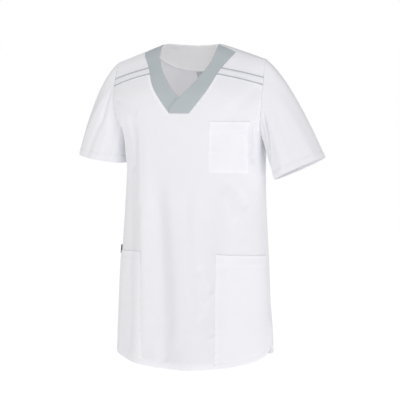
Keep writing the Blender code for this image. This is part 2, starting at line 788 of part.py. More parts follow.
def make_tab():
    """A folded tape that stands out of the side seam, just behind the seam line."""
    points = []
    for z in (TAB["z_bottom"], TAB["z_top"]):
        seam_x = torso(-SIDE_S, t_at_height(-SIDE_S, z))[0] - SEAM_GAP
        front_y = SEAM_GAP
        back_y = front_y + TAB["thick"]
        points += [(seam_x, front_y, z), (seam_x, back_y, z),
                   (seam_x - TAB["reach"], back_y, z), (seam_x - TAB["reach"], front_y, z)]
    faces = [(3, 2, 1, 0), (4, 5, 6, 7), (0, 1, 5, 4), (1, 2, 6, 5), (2, 3, 7, 6), (3, 0, 4, 7)]
    finish("side_tab", points, faces, NAVY)


def sleeve_ring(side):
    """The armhole seam as a closed ring from the underarm up the front and down the back."""
    ring = np.vstack([ARM_FRONT[::-1], ARM_BACK[1:-1]])
    ring = ring * (side, 1)
    s, t = ring.T
    along = np.roll(ring, -1, axis=0) - np.roll(ring, 1, axis=0)
    out = np.stack([along[:, 1], -along[:, 0]], axis=1)
    out /= np.linalg.norm(out, axis=1, keepdims=True)
    if (out[len(ARM_FRONT) // 2, 0] > 0) != (side > 0):
        out = -out
    out[0] = (side, 0.0)
    seam = torso(s, t)
    ahead = torso(s + out[:, 0] * 0.0004, t + out[:, 1] * 0.0004) - seam
    ahead[0] = (0.0, 0.0, 1.0)
    ahead /= np.linalg.norm(ahead, axis=1, keepdims=True)
    outward = normals(torso, s, t)
    outward[0] = (side, 0.0, 0.0)
    return seam, ahead, outward


def make_sleeve(hand):
    size = SLEEVES[hand]
    side = size["side"]
    seam, ahead, outward = sleeve_ring(side)
    count = len(seam)
    tip = len(ARM_FRONT) - 1
    along = chords(np.vstack([seam, seam[:1]]))
    front_share = along[:tip + 1] / along[tip]
    back_share = (along[tip + 1:count] - along[tip]) / (along[count] - along[tip])
    angle = np.concatenate([math.pi * (1 + front_share), math.pi * back_share])
    height = np.concatenate([front_share, 1 - back_share])
    tilt = math.radians(size["tilt"])
    fall = math.radians(size["cap_fall"])
    across = np.array((side * math.cos(tilt), 0.0, math.sin(tilt)))
    down_arm = np.array((side * math.sin(tilt), 0.0, -math.cos(tilt)))
    cap = np.array((side * math.cos(fall), 0.0, -math.sin(fall)))
    hem = (np.array(size["centre"]) * (side, 1, 1)
           + size["across"] * np.cos(angle)[:, None] * across
           + size["deep"] * np.sin(angle)[:, None] * np.array((0.0, 1.0, 0.0)))
    share = ease(height)[:, None]
    leave = (1 - share) * down_arm + share * cap
    leave /= np.linalg.norm(leave, axis=1, keepdims=True)
    folded_back = np.clip((leave * outward).sum(axis=1), 0.0, 1.0)
    folded_back[0] = 1.0
    clear = SEAM_GAP * (0.5 * ahead + 1.2 * ease(folded_back * 3)[:, None] * outward)
    start = seam + clear
    reach = np.linalg.norm(hem - start, axis=1)[:, None]
    rows = []
    for part in np.linspace(0.0, 1.0, SLEEVE_ROWS):
        rows.append((2 * part ** 3 - 3 * part ** 2 + 1) * start
                    + (part ** 3 - 2 * part ** 2 + part) * reach * CAP_PULL * leave
                    + (3 * part ** 2 - 2 * part ** 3) * hem
                    + (part ** 3 - part ** 2) * reach * HEM_PULL * down_arm)
    outer = np.array(rows)
    round_way = np.roll(outer, -1, axis=1) - np.roll(outer, 1, axis=1)
    down_way = np.gradient(outer, axis=0)
    facing = np.cross(down_way, round_way) * side
    facing /= np.linalg.norm(facing, axis=2, keepdims=True)
    facing[0] = np.where((folded_back > 0)[:, None], facing[0], outward)
    inner = outer - facing * WALL
    faces = []
    total = SLEEVE_ROWS * count
    for row in range(SLEEVE_ROWS - 1):
        for k in range(count):
            a = row * count + k
            b = row * count + (k + 1) % count
            quad = (a, b, b + count, a + count)[::-side]
            faces += [(quad[0], quad[1], quad[2]), (quad[0], quad[2], quad[3])]
            back = [corner + total for corner in quad[::-1]]
            faces += [(back[0], back[1], back[2]), (back[0], back[2], back[3])]
    for first, turned in ((0, side), ((SLEEVE_ROWS - 1) * count, -side)):
        for k in range(count):
            a = first + k
            b = first + (k + 1) % count
            quad = (a, b, b + total, a + total)[::turned]
            faces += [(quad[0], quad[1], quad[2]), (quad[0], quad[2], quad[3])]
    points = np.vstack([outer.reshape(-1, 3), inner.reshape(-1, 3)])
    return finish(f"sleeve_{hand}", points, faces, WHITE)


def clear_scene():
    for thing in list(bpy.data.objects):
        bpy.data.objects.remove(thing, do_unlink=True)


def main():
    clear_scene()
    make_front()
    make_bands()
    make_back()
    make_pockets()
    make_tab()
    for hand in SLEEVES:
        make_sleeve(hand)


main()
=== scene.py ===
import json
import math

import bpy
import numpy as np
from mathutils import Vector
from mathutils.geometry import delaunay_2d_cdt
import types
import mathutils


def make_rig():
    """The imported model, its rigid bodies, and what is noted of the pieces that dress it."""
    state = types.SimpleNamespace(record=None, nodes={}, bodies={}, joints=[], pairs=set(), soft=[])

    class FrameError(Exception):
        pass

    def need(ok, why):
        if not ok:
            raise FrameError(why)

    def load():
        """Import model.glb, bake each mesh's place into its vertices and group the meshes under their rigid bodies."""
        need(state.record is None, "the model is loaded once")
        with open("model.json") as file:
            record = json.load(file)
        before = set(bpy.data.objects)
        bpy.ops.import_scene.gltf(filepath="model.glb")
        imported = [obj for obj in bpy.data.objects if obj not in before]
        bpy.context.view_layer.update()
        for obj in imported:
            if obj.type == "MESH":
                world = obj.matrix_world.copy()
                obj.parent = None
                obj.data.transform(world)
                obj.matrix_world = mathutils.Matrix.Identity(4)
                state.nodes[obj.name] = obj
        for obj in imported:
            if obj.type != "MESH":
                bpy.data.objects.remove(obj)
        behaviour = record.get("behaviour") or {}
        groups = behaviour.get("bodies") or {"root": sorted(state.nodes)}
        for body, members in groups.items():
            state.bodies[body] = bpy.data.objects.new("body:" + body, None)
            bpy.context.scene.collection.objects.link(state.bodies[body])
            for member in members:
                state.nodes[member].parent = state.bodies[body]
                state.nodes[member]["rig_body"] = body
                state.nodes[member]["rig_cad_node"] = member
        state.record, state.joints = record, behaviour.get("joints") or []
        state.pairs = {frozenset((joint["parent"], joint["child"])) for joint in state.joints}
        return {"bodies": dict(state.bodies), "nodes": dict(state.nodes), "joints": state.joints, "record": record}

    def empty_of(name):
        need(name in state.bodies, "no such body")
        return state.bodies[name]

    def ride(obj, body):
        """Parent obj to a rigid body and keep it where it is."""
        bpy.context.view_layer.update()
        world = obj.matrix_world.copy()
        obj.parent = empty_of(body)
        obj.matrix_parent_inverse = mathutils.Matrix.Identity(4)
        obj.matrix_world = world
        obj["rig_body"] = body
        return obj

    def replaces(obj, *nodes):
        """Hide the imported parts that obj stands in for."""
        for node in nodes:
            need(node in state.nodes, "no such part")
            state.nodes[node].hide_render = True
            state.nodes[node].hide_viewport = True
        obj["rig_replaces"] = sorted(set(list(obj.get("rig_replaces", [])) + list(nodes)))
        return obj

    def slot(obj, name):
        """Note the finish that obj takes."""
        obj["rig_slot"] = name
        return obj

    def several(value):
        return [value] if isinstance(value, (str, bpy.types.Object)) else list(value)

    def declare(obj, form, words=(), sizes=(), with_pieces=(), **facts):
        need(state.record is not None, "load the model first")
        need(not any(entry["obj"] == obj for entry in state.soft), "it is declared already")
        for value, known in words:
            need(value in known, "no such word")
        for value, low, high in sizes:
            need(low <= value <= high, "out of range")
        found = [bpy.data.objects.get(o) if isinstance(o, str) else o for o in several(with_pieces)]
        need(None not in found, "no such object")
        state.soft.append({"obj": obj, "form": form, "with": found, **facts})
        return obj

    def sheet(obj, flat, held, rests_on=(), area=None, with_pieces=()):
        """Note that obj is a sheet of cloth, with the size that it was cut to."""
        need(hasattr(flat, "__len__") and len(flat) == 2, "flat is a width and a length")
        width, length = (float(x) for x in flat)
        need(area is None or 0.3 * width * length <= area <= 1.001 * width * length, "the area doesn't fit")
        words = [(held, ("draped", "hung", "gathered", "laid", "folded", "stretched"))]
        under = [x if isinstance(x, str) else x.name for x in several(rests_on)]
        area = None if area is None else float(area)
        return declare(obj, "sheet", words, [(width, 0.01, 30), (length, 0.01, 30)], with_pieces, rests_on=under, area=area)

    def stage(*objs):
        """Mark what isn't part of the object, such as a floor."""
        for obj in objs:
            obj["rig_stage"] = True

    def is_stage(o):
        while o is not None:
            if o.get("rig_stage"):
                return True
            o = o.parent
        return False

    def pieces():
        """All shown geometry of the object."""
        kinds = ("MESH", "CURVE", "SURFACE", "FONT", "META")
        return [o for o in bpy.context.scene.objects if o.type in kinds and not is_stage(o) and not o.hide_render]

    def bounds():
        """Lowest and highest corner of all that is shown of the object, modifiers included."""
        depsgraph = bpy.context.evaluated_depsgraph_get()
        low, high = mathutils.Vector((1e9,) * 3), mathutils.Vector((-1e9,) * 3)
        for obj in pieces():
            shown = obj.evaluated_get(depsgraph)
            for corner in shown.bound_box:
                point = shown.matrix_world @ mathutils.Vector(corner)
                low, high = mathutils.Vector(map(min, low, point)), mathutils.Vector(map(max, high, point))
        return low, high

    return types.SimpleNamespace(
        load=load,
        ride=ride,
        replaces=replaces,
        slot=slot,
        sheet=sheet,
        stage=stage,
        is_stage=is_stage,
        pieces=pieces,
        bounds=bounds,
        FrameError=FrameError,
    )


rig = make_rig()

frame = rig.load()
cad_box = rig.bounds()

# ---------------------------------------------------------------- front
# The front is one piece of white twill, cut below the shoulder piping, with a deep V for
# the contrast band. Front and back hang from the shoulders as one hollow form. Every flat piece is
# drawn on a chart of that form: s runs round the body from the centre line, t down from the ridge,
# positive on the front. The hem is turned up twice and topstitched.

WALL = 0.0012               # thickness of the cloth
SEAM_GAP = 0.0001           # between pieces at a seam, and between layers
LAYER = WALL + SEAM_GAP     # what one piece is moved out to lie on another
MESH_STEP = 0.0037          # the cloth's mesh is this fine
FINE_STEP = 0.0035          # this fine in the small pieces
PIPING_STEP = 0.0009        # and this fine in the narrowest
LABEL_STEP = 0.0025
EDGE_STEP = 0.0040          # the spacing of points on cut edges
EDGE_ROUND = 0.15 * WALL    # how round a cut edge is
PROBE = 0.0004              # how far a surface is followed to find its slope

NECK_Z = 0.020              # height of the shoulder ridge at the neck
NECK_HALF = 0.068           # half width of the neck opening on the ridge
SHOULDER_HALF = 0.180       # from the centre to the armhole, along the ridge
SHOULDER_DROP_PLUS_X = 0.0355   # how far the ridge falls from neck to armhole, the +X side
SHOULDER_DROP_MINUS_X = 0.0430  # and the other side, which hangs a little lower
NECK_ROUND = 0.007          # softens the bend of the ridge at the neck
SLOPE_ENDS = 0.30           # depth at which the shoulder slope has died out
UNDERARM_DROP = 0.2125      # from the neck's height down to the underarm
HEM_Z = -0.725              # centre of the hem
HEM_RISE = 0.038            # rise of the hem's long curve from the centre to the side
HEM_POWER = 1.8             # how late that curve rises
CORNER_RISE = 0.018         # height of the rounded corner at each side vent
CORNER_FROM = 0.72          # share of the half panel where the corner's round starts
VENT_Z = -0.6275            # top of the side vent
VENT_SPREAD = 0.004         # how far each vent edge stands back from the side line
SHOULDER_SEAM = 0.012       # the back comes this far over the ridge to the front
HEM_DEPTH = 0.012           # depth of the turned hem
HEM_STANDS = 0.0007         # how far the doubled cloth of a hem stands out
HEM_SOFT = 0.0022           # and over what width it does so
SEAM_FLAT = 0.0002          # dip or pucker of a seam that lies flat
ALLOWANCE = 0.0038          # width of the seam allowance that is stitched down beside a seam
POCKET_TOP_Z = -0.456
POCKET_FALL = 0.006         # the pocket's top falls this much towards the side

# Centre line of the front and of the back: drop below the neck's height, depth from the ridge plane.
FRONT_LINE = (
    # drop, depth
    (0.000, 0.0000),
    (0.002, 0.0090),
    (0.010, 0.0205),
    (0.040, 0.0430),
    (0.070, 0.0630),
    (0.100, 0.0775),
    (0.130, 0.0845),
    (0.165, 0.0875),
    (0.220, 0.0885),
    (0.320, 0.0870),
    (0.430, 0.0865),
    (0.550, 0.0915),
    (0.650, 0.0960),
    (0.780, 0.1000),
)
BACK_LINE = (
    (0.000, 0.0000),
    (-0.001, 0.0120),
    (-0.0005, 0.0280),
    (0.005, 0.0460),
    (0.027, 0.0720),
    (0.070, 0.0970),
    (0.110, 0.1140),
    (0.160, 0.1250),
    (0.220, 0.1290),
    (0.320, 0.1250),
    (0.430, 0.1210),
    (0.550, 0.1250),
    (0.650, 0.1300),
    (0.780, 0.1340),
)
# Sections of the hollow form: half width on each side, and how square it is (2 is an ellipse).
SECTIONS = (
    # drop, half width at +X, half width at -X, squareness
    (0.000, 0.194, 0.194, 2.6),
    (0.060, 0.195, 0.195, 2.6),
    (0.110, 0.1925, 0.1905, 2.6),
    (0.150, 0.1860, 0.1800, 2.6),
    (0.185, 0.1780, 0.1665, 2.55),
    (0.220, 0.1740, 0.1580, 2.5),
    (0.285, 0.1720, 0.1540, 2.5),
    (0.360, 0.1735, 0.1580, 2.5),
    (0.440, 0.1785, 0.1640, 2.45),
    (0.520, 0.1830, 0.1705, 2.4),
    (0.600, 0.1860, 0.1740, 2.4),
    (0.660, 0.1910, 0.1765, 2.4),
    (0.780, 0.1930, 0.1790, 2.4),
)
# Armhole seam: drop below the neck's height, direction round the section from the centre line.
ARMHOLE_FRONT = (
    # drop, degrees
    (0.000, 61.5),
    (0.040, 62.0),
    (0.090, 63.0),
    (0.135, 65.5),
    (0.172, 70.5),
    (0.198, 78.5),
    (UNDERARM_DROP, 90.0),
)
ARMHOLE_BACK = (
    (0.000, 61.5),
    (0.040, 62.0),
    (0.090, 63.0),
    (0.135, 65.5),
    (0.172, 70.5),
    (0.199, 79.0),
    (UNDERARM_DROP, 90.0),
)
# Contrast band: its outer edge, and the neck edge inside it, as seen from the front (x, z).
BAND_OUTER = (
    (0.1145, 0.0080),
    (0.1085, -0.0030),
    (0.1005, -0.0150),
    (0.0900, -0.0306),
    (0.0675, -0.0783),
    (0.0444, -0.1110),
    (0.0249, -0.1350),
)
NECK_EDGE = (
    (0.0675, 0.0080),
    (0.0655, -0.0060),
    (0.0600, -0.0220),
    (0.0316, -0.0655),
    (0.0087, -0.0927),
    (0.0000, -0.1010),
)
# Piping: where each line leaves the band (x, z) and the drop at which it meets the armhole.
PIPING = {
    "upper": {"x": 0.0865, "z": -0.0310, "arm_drop": 0.0380, "bow": 0.0020},
    "lower": {"x": 0.0820, "z": -0.0445, "arm_drop": 0.0560, "bow": 0.0025},
}
PIPING_WIDTH = 0.0026

# The largest folds are those of the solids: soft ridges and troughs between two places.
FOLDS = (
    # side, x0, z0, x1, z1, half width, height out of the cloth (negative is a trough)
    ("front", -0.056, -0.260, -0.020, -0.740, 0.024, -0.0060),
    ("front", -0.104, -0.120, -0.098, -0.740, 0.020, 0.0045),
    ("front", -0.136, -0.180, -0.142, -0.700, 0.018, -0.0030),
    ("front", 0.018, -0.330, 0.032, -0.740, 0.026, 0.0040),
    ("front", 0.062, -0.300, 0.072, -0.600, 0.022, -0.0035),
    ("front", 0.118, -0.270, 0.112, -0.460, 0.020, 0.0030),
    ("front", 0.140, -0.120, 0.086, -0.210, 0.018, -0.0025),
    ("back", -0.086, -0.200, -0.100, -0.740, 0.026, -0.0055),
    ("back", 0.078, -0.240, 0.060, -0.740, 0.024, -0.0060),
    ("back", -0.018, -0.280, 0.006, -0.740, 0.024, 0.0040),
    ("back", 0.136, -0.220, 0.128, -0.680, 0.020, 0.0040),
    ("back", -0.140, -0.220, -0.136, -0.700, 0.020, 0.0035),
)
# Creases finer than those, each on a bowed line.
CREASES = (
    # side, x0, z0, x1, z1, bow to the side, half width, height
    ("front", -0.178, -0.104, -0.112, -0.136, 0.004, 0.0080, -0.0030),
    ("front", -0.156, -0.132, -0.150, -0.240, 0.003, 0.0075, 0.0026),
    ("front", -0.127, -0.142, -0.116, -0.262, 0.004, 0.0090, -0.0034),
    ("front", -0.104, -0.170, -0.098, -0.330, -0.003, 0.0090, 0.0020),
    ("front", -0.126, -0.300, -0.122, -0.660, 0.003, 0.0110, -0.0026),
    ("front", 0.170, -0.148, 0.164, -0.240, 0.006, 0.0065, -0.0062),
    ("front", 0.152, -0.168, 0.150, -0.262, 0.004, 0.0080, 0.0022),
    ("front", 0.104, -0.142, 0.172, -0.078, -0.005, 0.0130, -0.0024),
    ("front", -0.068, -0.270, -0.038, -0.690, 0.008, 0.0190, -0.0048),
    ("front", -0.030, -0.250, 0.000, -0.640, 0.008, 0.0180, 0.0038),
    ("front", -0.098, -0.320, -0.080, -0.640, 0.004, 0.0120, 0.0022),
    ("front", -0.080, -0.598, -0.034, -0.700, 0.006, 0.0110, -0.0030),
    ("front", 0.020, -0.290, 0.038, -0.580, -0.004, 0.0110, -0.0024),
    ("front", 0.046, -0.480, 0.078, -0.540, 0.005, 0.0080, -0.0034),
    ("front", 0.038, -0.500, 0.070, -0.566, 0.005, 0.0080, 0.0020),
    ("front", 0.052, -0.594, 0.080, -0.640, -0.004, 0.0085, -0.0026),
    ("front", 0.100, -0.284, 0.150, -0.346, 0.006, 0.0110, -0.0034),
    ("front", 0.094, -0.312, 0.128, -0.372, 0.005, 0.0110, 0.0020),
    ("back", -0.150, -0.130, -0.100, -0.190, 0.008, 0.0090, -0.0024),
    ("back", 0.150, -0.135, 0.104, -0.196, -0.008, 0.0090, -0.0026),
    ("back", 0.000, -0.060, 0.004, -0.300, 0.004, 0.0120, 0.0012),
    ("back", 0.040, -0.300, 0.034, -0.520, 0.004, 0.0120, -0.0026),
    ("back", -0.060, -0.260, -0.052, -0.640, -0.006, 0.0120, -0.0036),
    ("back", -0.038, -0.300, -0.022, -0.620, -0.005, 0.0130, 0.0026),
    ("back", 0.100, -0.300, 0.136, -0.372, 0.005, 0.0100, -0.0030),
    ("back", -0.152, -0.150, -0.146, -0.250, 0.003, 0.0080, 0.0024),
)


def smooth(knots, values):
    """A smooth curve through the values, as a function of the knots' parameter."""
    knots = np.array(knots, float)
    values = np.array(values, float)
    slopes = np.gradient(values, knots, axis=0)

    def at(place):
        place = np.clip(place, knots[0], knots[-1])
        span = np.clip(np.searchsorted(knots, place, side="right") - 1, 0, len(knots) - 2)
        step = knots[span + 1] - knots[span]
        part = (place - knots[span]) / step
        if values.ndim > 1:
            step = step[..., None]
            part = part[..., None]
        start = (1 + 2 * part) * (1 - part) ** 2 * values[span]
        leave = part * (1 - part) ** 2 * step * slopes[span]
        end = part * part * (3 - 2 * part) * values[span + 1]
        arrive = part * part * (part - 1) * step * slopes[span + 1]
        return start + leave + end + arrive

    return at


def chords(points):
    """Distance along a line of points, from its start to each of them."""
    return np.concatenate([[0.0], np.cumsum(np.linalg.norm(np.diff(points, axis=0), axis=1))])


def smooth_line(points, step=EDGE_STEP):
    """A smooth curve through the points, with a point at about every step."""
    points = np.array(points, float)
    along = chords(points)
    count = max(2, math.ceil(along[-1] / step) + 1)
    return smooth(along, points)(np.linspace(0.0, along[-1], count))


def straight(start, end, step=EDGE_STEP):
    count = max(2, math.ceil(math.dist(start, end) / step) + 1)
    return np.linspace(start, end, count)


def ease(value):
    """0 below 0, 1 above 1, and a soft S between."""
    value = np.clip(value, 0.0, 1.0)
    return value * value * (3 - 2 * value)


def mirrored(points):
    """The same line on the other half of the chart."""
    return np.array(points, float) * (-1, 1)


front_at = smooth(chords(np.array(FRONT_LINE)), FRONT_LINE)
back_at = smooth(chords(np.array(BACK_LINE)), BACK_LINE)
section_at = smooth([row[0] for row in SECTIONS], [row[1:] for row in SECTIONS])


def section_point(direction, squareness):
    """x and y, as shares of the half width and the depth, in a direction from the centre line."""
    across = np.sin(direction)
    along = np.cos(direction)
    radius = (np.abs(across) ** squareness + np.abs(along) ** squareness) ** (-1 / squareness)
    return radius * across, radius * along


# s is the length round this section, at chest height, so the chart is close to true size.
CHEST = {"half_width": 0.172, "depth": 0.100, "squareness": 2.5}
directions = np.linspace(0.0, math.pi / 2, 3000)
chest_x, chest_y = section_point(directions, CHEST["squareness"])
round_length = chords(np.stack([chest_x * CHEST["half_width"], chest_y * CHEST["depth"]], axis=1))
SIDE_S = round_length[-1]   # the side seam


def plain_form(s, t):
    """The form without its folds: world points for chart points."""
    s = np.asarray(s, float)
    t = np.asarray(t, float)
    past_side = np.maximum(np.abs(s) - SIDE_S, 0.0) / CHEST["depth"]
    direction = np.sign(s) * (np.interp(np.abs(s), round_length, directions) + past_side)
    line = np.where((t >= 0)[..., None], front_at(np.abs(t)), back_at(np.abs(t)))
    drop = line[..., 0]
    depth = line[..., 1]
    section = section_at(drop)
    across, along = section_point(direction, section[..., 2])
    x = np.where(s >= 0, section[..., 0], section[..., 1]) * across
    y = np.where(t >= 0, -1.0, 1.0) * depth * along
    past_neck = np.abs(x) - NECK_HALF
    ramp = 0.5 * (past_neck + np.sqrt(past_neck ** 2 + NECK_ROUND ** 2))
    shoulder_drop = np.where(x >= 0, SHOULDER_DROP_PLUS_X, SHOULDER_DROP_MINUS_X)
    slope = shoulder_drop / (SHOULDER_HALF - NECK_HALF)
    z = NECK_Z - drop - ramp * slope * (1 - ease(drop / SLOPE_ENDS))
    return np.stack([x, y, z], axis=-1)


def normals(surface, s, t, reach=PROBE):
    """Outward normals of a chart surface."""
    along_s = surface(s + reach, t) - surface(s - reach, t)
    along_t = surface(s, t + reach) - surface(s, t - reach)
    outward = np.cross(along_t, along_s)
    return outward / np.linalg.norm(outward, axis=-1, keepdims=True)


def t_at_height(s, z, front=True):
    """Chart t of the points at height z on the lines s."""
    s, z = np.broadcast_arrays(np.asarray(s, float), np.asarray(z, float))
    low = np.zeros(s.shape)
    high = np.full(s.shape, 0.85)
    sign = 1.0 if front else -1.0
    for _ in range(30):
        middle = (low + high) / 2
        too_high = plain_form(s, sign * middle)[..., 2] > z
        low = np.where(too_high, middle, low)
        high = np.where(too_high, high, middle)
    return sign * (low + high) / 2


def on_chart(points, front=True):
    """Chart points for places given as seen from the front: x and z."""
    points = np.array(points, float)
    x = points[:, 0]
    low = np.zeros(len(x))
    high = np.full(len(x), SIDE_S)
    for _ in range(24):
        middle = (low + high) / 2
        t = t_at_height(middle * np.sign(x), points[:, 1], front)
        inside_x = np.abs(plain_form(middle * np.sign(x), t)[:, 0]) < np.abs(x)
        low = np.where(inside_x, middle, low)
        high = np.where(inside_x, high, middle)
    s = (low + high) / 2 * np.sign(x)
    return np.stack([s, t_at_height(s, points[:, 1], front)], axis=1)


def crease_lines():
    """Every fold and crease with its ends on the chart: start, end, bow, half width, height."""
    lines = [(side, x0, z0, x1, z1, 0.0, width, height) for side, x0, z0, x1, z1, width, height in FOLDS]
    lines += CREASES
    found = []
    for chosen in ("front", "back"):
        here = [line for line in lines if line[0] == chosen]
        starts = on_chart([line[1:3] for line in here], chosen == "front")
        ends = on_chart([line[3:5] for line in here], chosen == "front")
        found += [(start, end, *line[5:]) for start, end, line in zip(starts, ends, here)]
    return found


creases = crease_lines()


def crease_height(s, t):
    """How far folds and creases lift the cloth out of the plain form."""
    total = np.zeros(np.shape(s))
    for start, end, bow, half_width, height in creases:
        run = end - start
        length = math.hypot(*run)
        along = ((s - start[0]) * run[0] + (t - start[1]) * run[1]) / length ** 2
        aside = ((s - start[0]) * run[1] - (t - start[1]) * run[0]) / length
        aside = aside - bow * 4 * along * (1 - along)
        fade = ease(along / 0.25) * ease((1.12 - along) / 0.12)
        total = total + height * fade * np.exp(-(aside / half_width) ** 2)
    return total


def form(s, t):
    """World points for chart points, with folds and creases."""
    s = np.asarray(s, float)
    t = np.asarray(t, float)
    return plain_form(s, t) + normals(plain_form, s, t) * crease_height(s, t)[..., None]


def armhole(front, count=64):
    """The armhole seam of the viewer's right side, from the ridge down to the underarm."""
    table = ARMHOLE_FRONT if front else ARMHOLE_BACK
    rows = np.array([(drop, math.radians(degrees)) for drop, degrees in table])
    # the seam runs level where it meets the side seam, so the curve is carried on past it
    beyond = (2 * rows[-2] - rows[-1]) * (1, 0) + (0, math.pi - rows[-2][1])
    beyond[0] = rows[-2][0]
    path = np.vstack([rows, [beyond]])
    along = chords(path * (1, 0.12))
    points = smooth(along, path)(np.linspace(0.0, along[-2], count))
    s = np.interp(points[:, 1], directions, round_length)
    lookup = np.linspace(0.0, 0.6, 4000)
    drops = (front_at if front else back_at)(lookup)[:, 0]
    rising = np.maximum.accumulate(drops)
    t = np.interp(points[:, 0], rising, lookup)
    t[0] = 0.0
    s[-1] = SIDE_S
    return np.stack([s, t if front else -t], axis=1)


def side_and_hem(front):
    """The viewer's right edge below the armhole: side seam, vent, corner and hem to the centre."""
    under_z = plain_form(SIDE_S, armhole(front)[-1, 1])[2]
    heights = straight((under_z, 0.0), (VENT_Z, 0.0))[:, 0]
    seam = np.stack([np.full(len(heights), SIDE_S), t_at_height(SIDE_S, heights, front)], axis=1)
    vent_low_z = HEM_Z + HEM_RISE + CORNER_RISE
    turn = np.linspace(0.0, 1.0, 13)[1:]
    vent_s = SIDE_S - VENT_SPREAD * turn
    vent_z = VENT_Z + (vent_low_z - VENT_Z) * turn
    vent = np.stack([vent_s, t_at_height(vent_s, vent_z, front)], axis=1)
    corner_s = SIDE_S - VENT_SPREAD
    start_s = CORNER_FROM * corner_s
    angles = np.linspace(0.0, math.pi / 2, 22)[1:]
    round_s = start_s + (corner_s - start_s) * np.cos(angles)
    flat_s = np.linspace(start_s, 0.0, 40)[1:]
    hem_s = np.concatenate([round_s, flat_s])
    rise = CORNER_RISE * (1 - np.concatenate([np.sin(angles), np.ones(len(flat_s))]))
    hem_z = HEM_Z + HEM_RISE * (hem_s / corner_s) ** HEM_POWER + rise
    hem = np.stack([hem_s, t_at_height(hem_s, hem_z, front)], axis=1)
    return seam, vent, hem


def whole(half):
    """A line over both halves of the chart, from its viewer's right half, which ends on the centre."""
    return np.vstack([half, mirrored(half)[::-1][1:]])


def closed_by_mirror(half):
    """A closed outline from its viewer's right half, which starts and ends on the centre line."""
    return whole(half)[:-1]


arm_front = armhole(True)
arm_back = armhole(False)
front_side, front_vent, front_hem = side_and_hem(True)
back_side, back_vent, back_hem = side_and_hem(False)
cloth_edge = closed_by_mirror(np.vstack([
    front_hem[::-1], front_vent[::-1], front_side[::-1], arm_front[::-1][1:],
    arm_back[1:], back_side[1:], back_vent, back_hem,
]))


def below_seam(points):
    """The line cut off at the shoulder seam, where the back begins."""
    points = np.array(points, float)
    first = int(np.argmax(points[:, 1] > SHOULDER_SEAM))
    if first == 0:
        return points
    before, after = points[first - 1], points[first]
    share = (SHOULDER_SEAM - before[1]) / (after[1] - before[1])
    return np.vstack([[before + (after - before) * share], points[first:]])


band_outer = below_seam(on_chart(smooth_line(BAND_OUTER)))
neck_front = on_chart(smooth_line(NECK_EDGE))
neck_front[-1, 0] = 0.0
band_bottom = straight(band_outer[-1], mirrored(band_outer[-1]))
band_opening = np.vstack([band_outer, band_bottom[1:], mirrored(band_outer)[::-1][1:]])


def piping_edges(piping):
    """The two edges of a piping on the viewer's right, from inside the band to past the armhole."""
    pair = []
    for below_top in (0.0, PIPING_WIDTH):
        start = on_chart([(piping["x"], piping["z"] - below_top)])[0]
        drop = piping["arm_drop"] + below_top
        lookup = np.linspace(0.0, 0.2, 4000)
        t_end = np.interp(drop, front_at(lookup)[:, 0], lookup)
        end = np.array([np.interp(t_end, arm_front[:, 1], arm_front[:, 0]), t_end])
        middle = (start + end) / 2 - (0.0, piping["bow"])
        pair.append(smooth_line([start, middle, end, end + (end - middle) * 0.08]))
    return pair


lower_piping = piping_edges(PIPING["lower"])
upper_piping = piping_edges(PIPING["upper"])
shoulder_cut = straight((-0.25, SHOULDER_SEAM), (0.25, SHOULDER_SEAM))


def inside(outline, points):
    """Which points lie inside a closed outline."""
    order = np.argsort(points[:, 1])
    s, t = points[order].T
    crossed = np.zeros(len(points), bool)
    for start, end in zip(outline, np.roll(outline, -1, axis=0)):
        first, last = np.searchsorted(t, sorted((start[1], end[1])))
        if first < last:
            share = (t[first:last] - start[1]) / (end[1] - start[1])
            crossed[first:last] ^= s[first:last] < start[0] + share * (end[0] - start[0])
    result = np.empty(len(points), bool)
    result[order] = crossed
    return result


def below(line, points):
    """Which points lie below a line that runs outwards on each side of the chart."""
    return points[:, 1] > np.interp(np.abs(points[:, 0]), line[:, 0], line[:, 1])


def near(line, s, t, reach):
    """Distance from chart points to a line, as far as reach, and the place along the line."""
    distance = np.full(np.shape(s), 9.0)
    place = np.zeros(np.shape(s))
    low = line.min(axis=0) - reach
    high = line.max(axis=0) + reach
    close = np.flatnonzero((s > low[0]) & (s < high[0]) & (t > low[1]) & (t < high[1]))
    along = chords(line)
    for k in range(len(line) - 1):
        run = line[k + 1] - line[k]
        length2 = run @ run
        if length2 == 0:
            continue
        u = ((s[close] - line[k, 0]) * run[0] + (t[close] - line[k, 1]) * run[1]) / length2
        u = np.clip(u, 0.0, 1.0)
        gap = np.hypot(s[close] - line[k, 0] - u * run[0], t[close] - line[k, 1] - u * run[1])
        nearer = gap < distance[close]
        distance[close[nearer]] = gap[nearer]
        place[close[nearer]] = along[k] + u[nearer] * math.sqrt(length2)
    return distance, place


def ripple(place, length):
    """An uneven ripple along a sewn line, from -1 to 1."""
    turn = 2 * math.pi * place / length
    return (np.sin(turn) + 0.7 * np.sin(0.61 * turn + 1.3) + 0.5 * np.sin(1.73 * turn + 4.0)) / 2.2


def seam_dip(line, depth=0.0005, width=0.0034, pucker=0.0004, pucker_width=0.012):
    """Relief along a seam: the cloth dips into it and puckers beside it."""
    def height(s, t):
        distance, place = near(line, s, t, 3 * pucker_width)
        dip = -depth * np.exp(-(distance / width) ** 2)
        return dip + pucker * np.exp(-(distance / pucker_width) ** 2) * ripple(place, 0.014)
    return height


def dips(*lines, **measures):
    """Relief along seams that lie on both halves of the chart."""
    return together(*(seam_dip(one, **measures) for line in lines for one in (line, mirrored(line))))


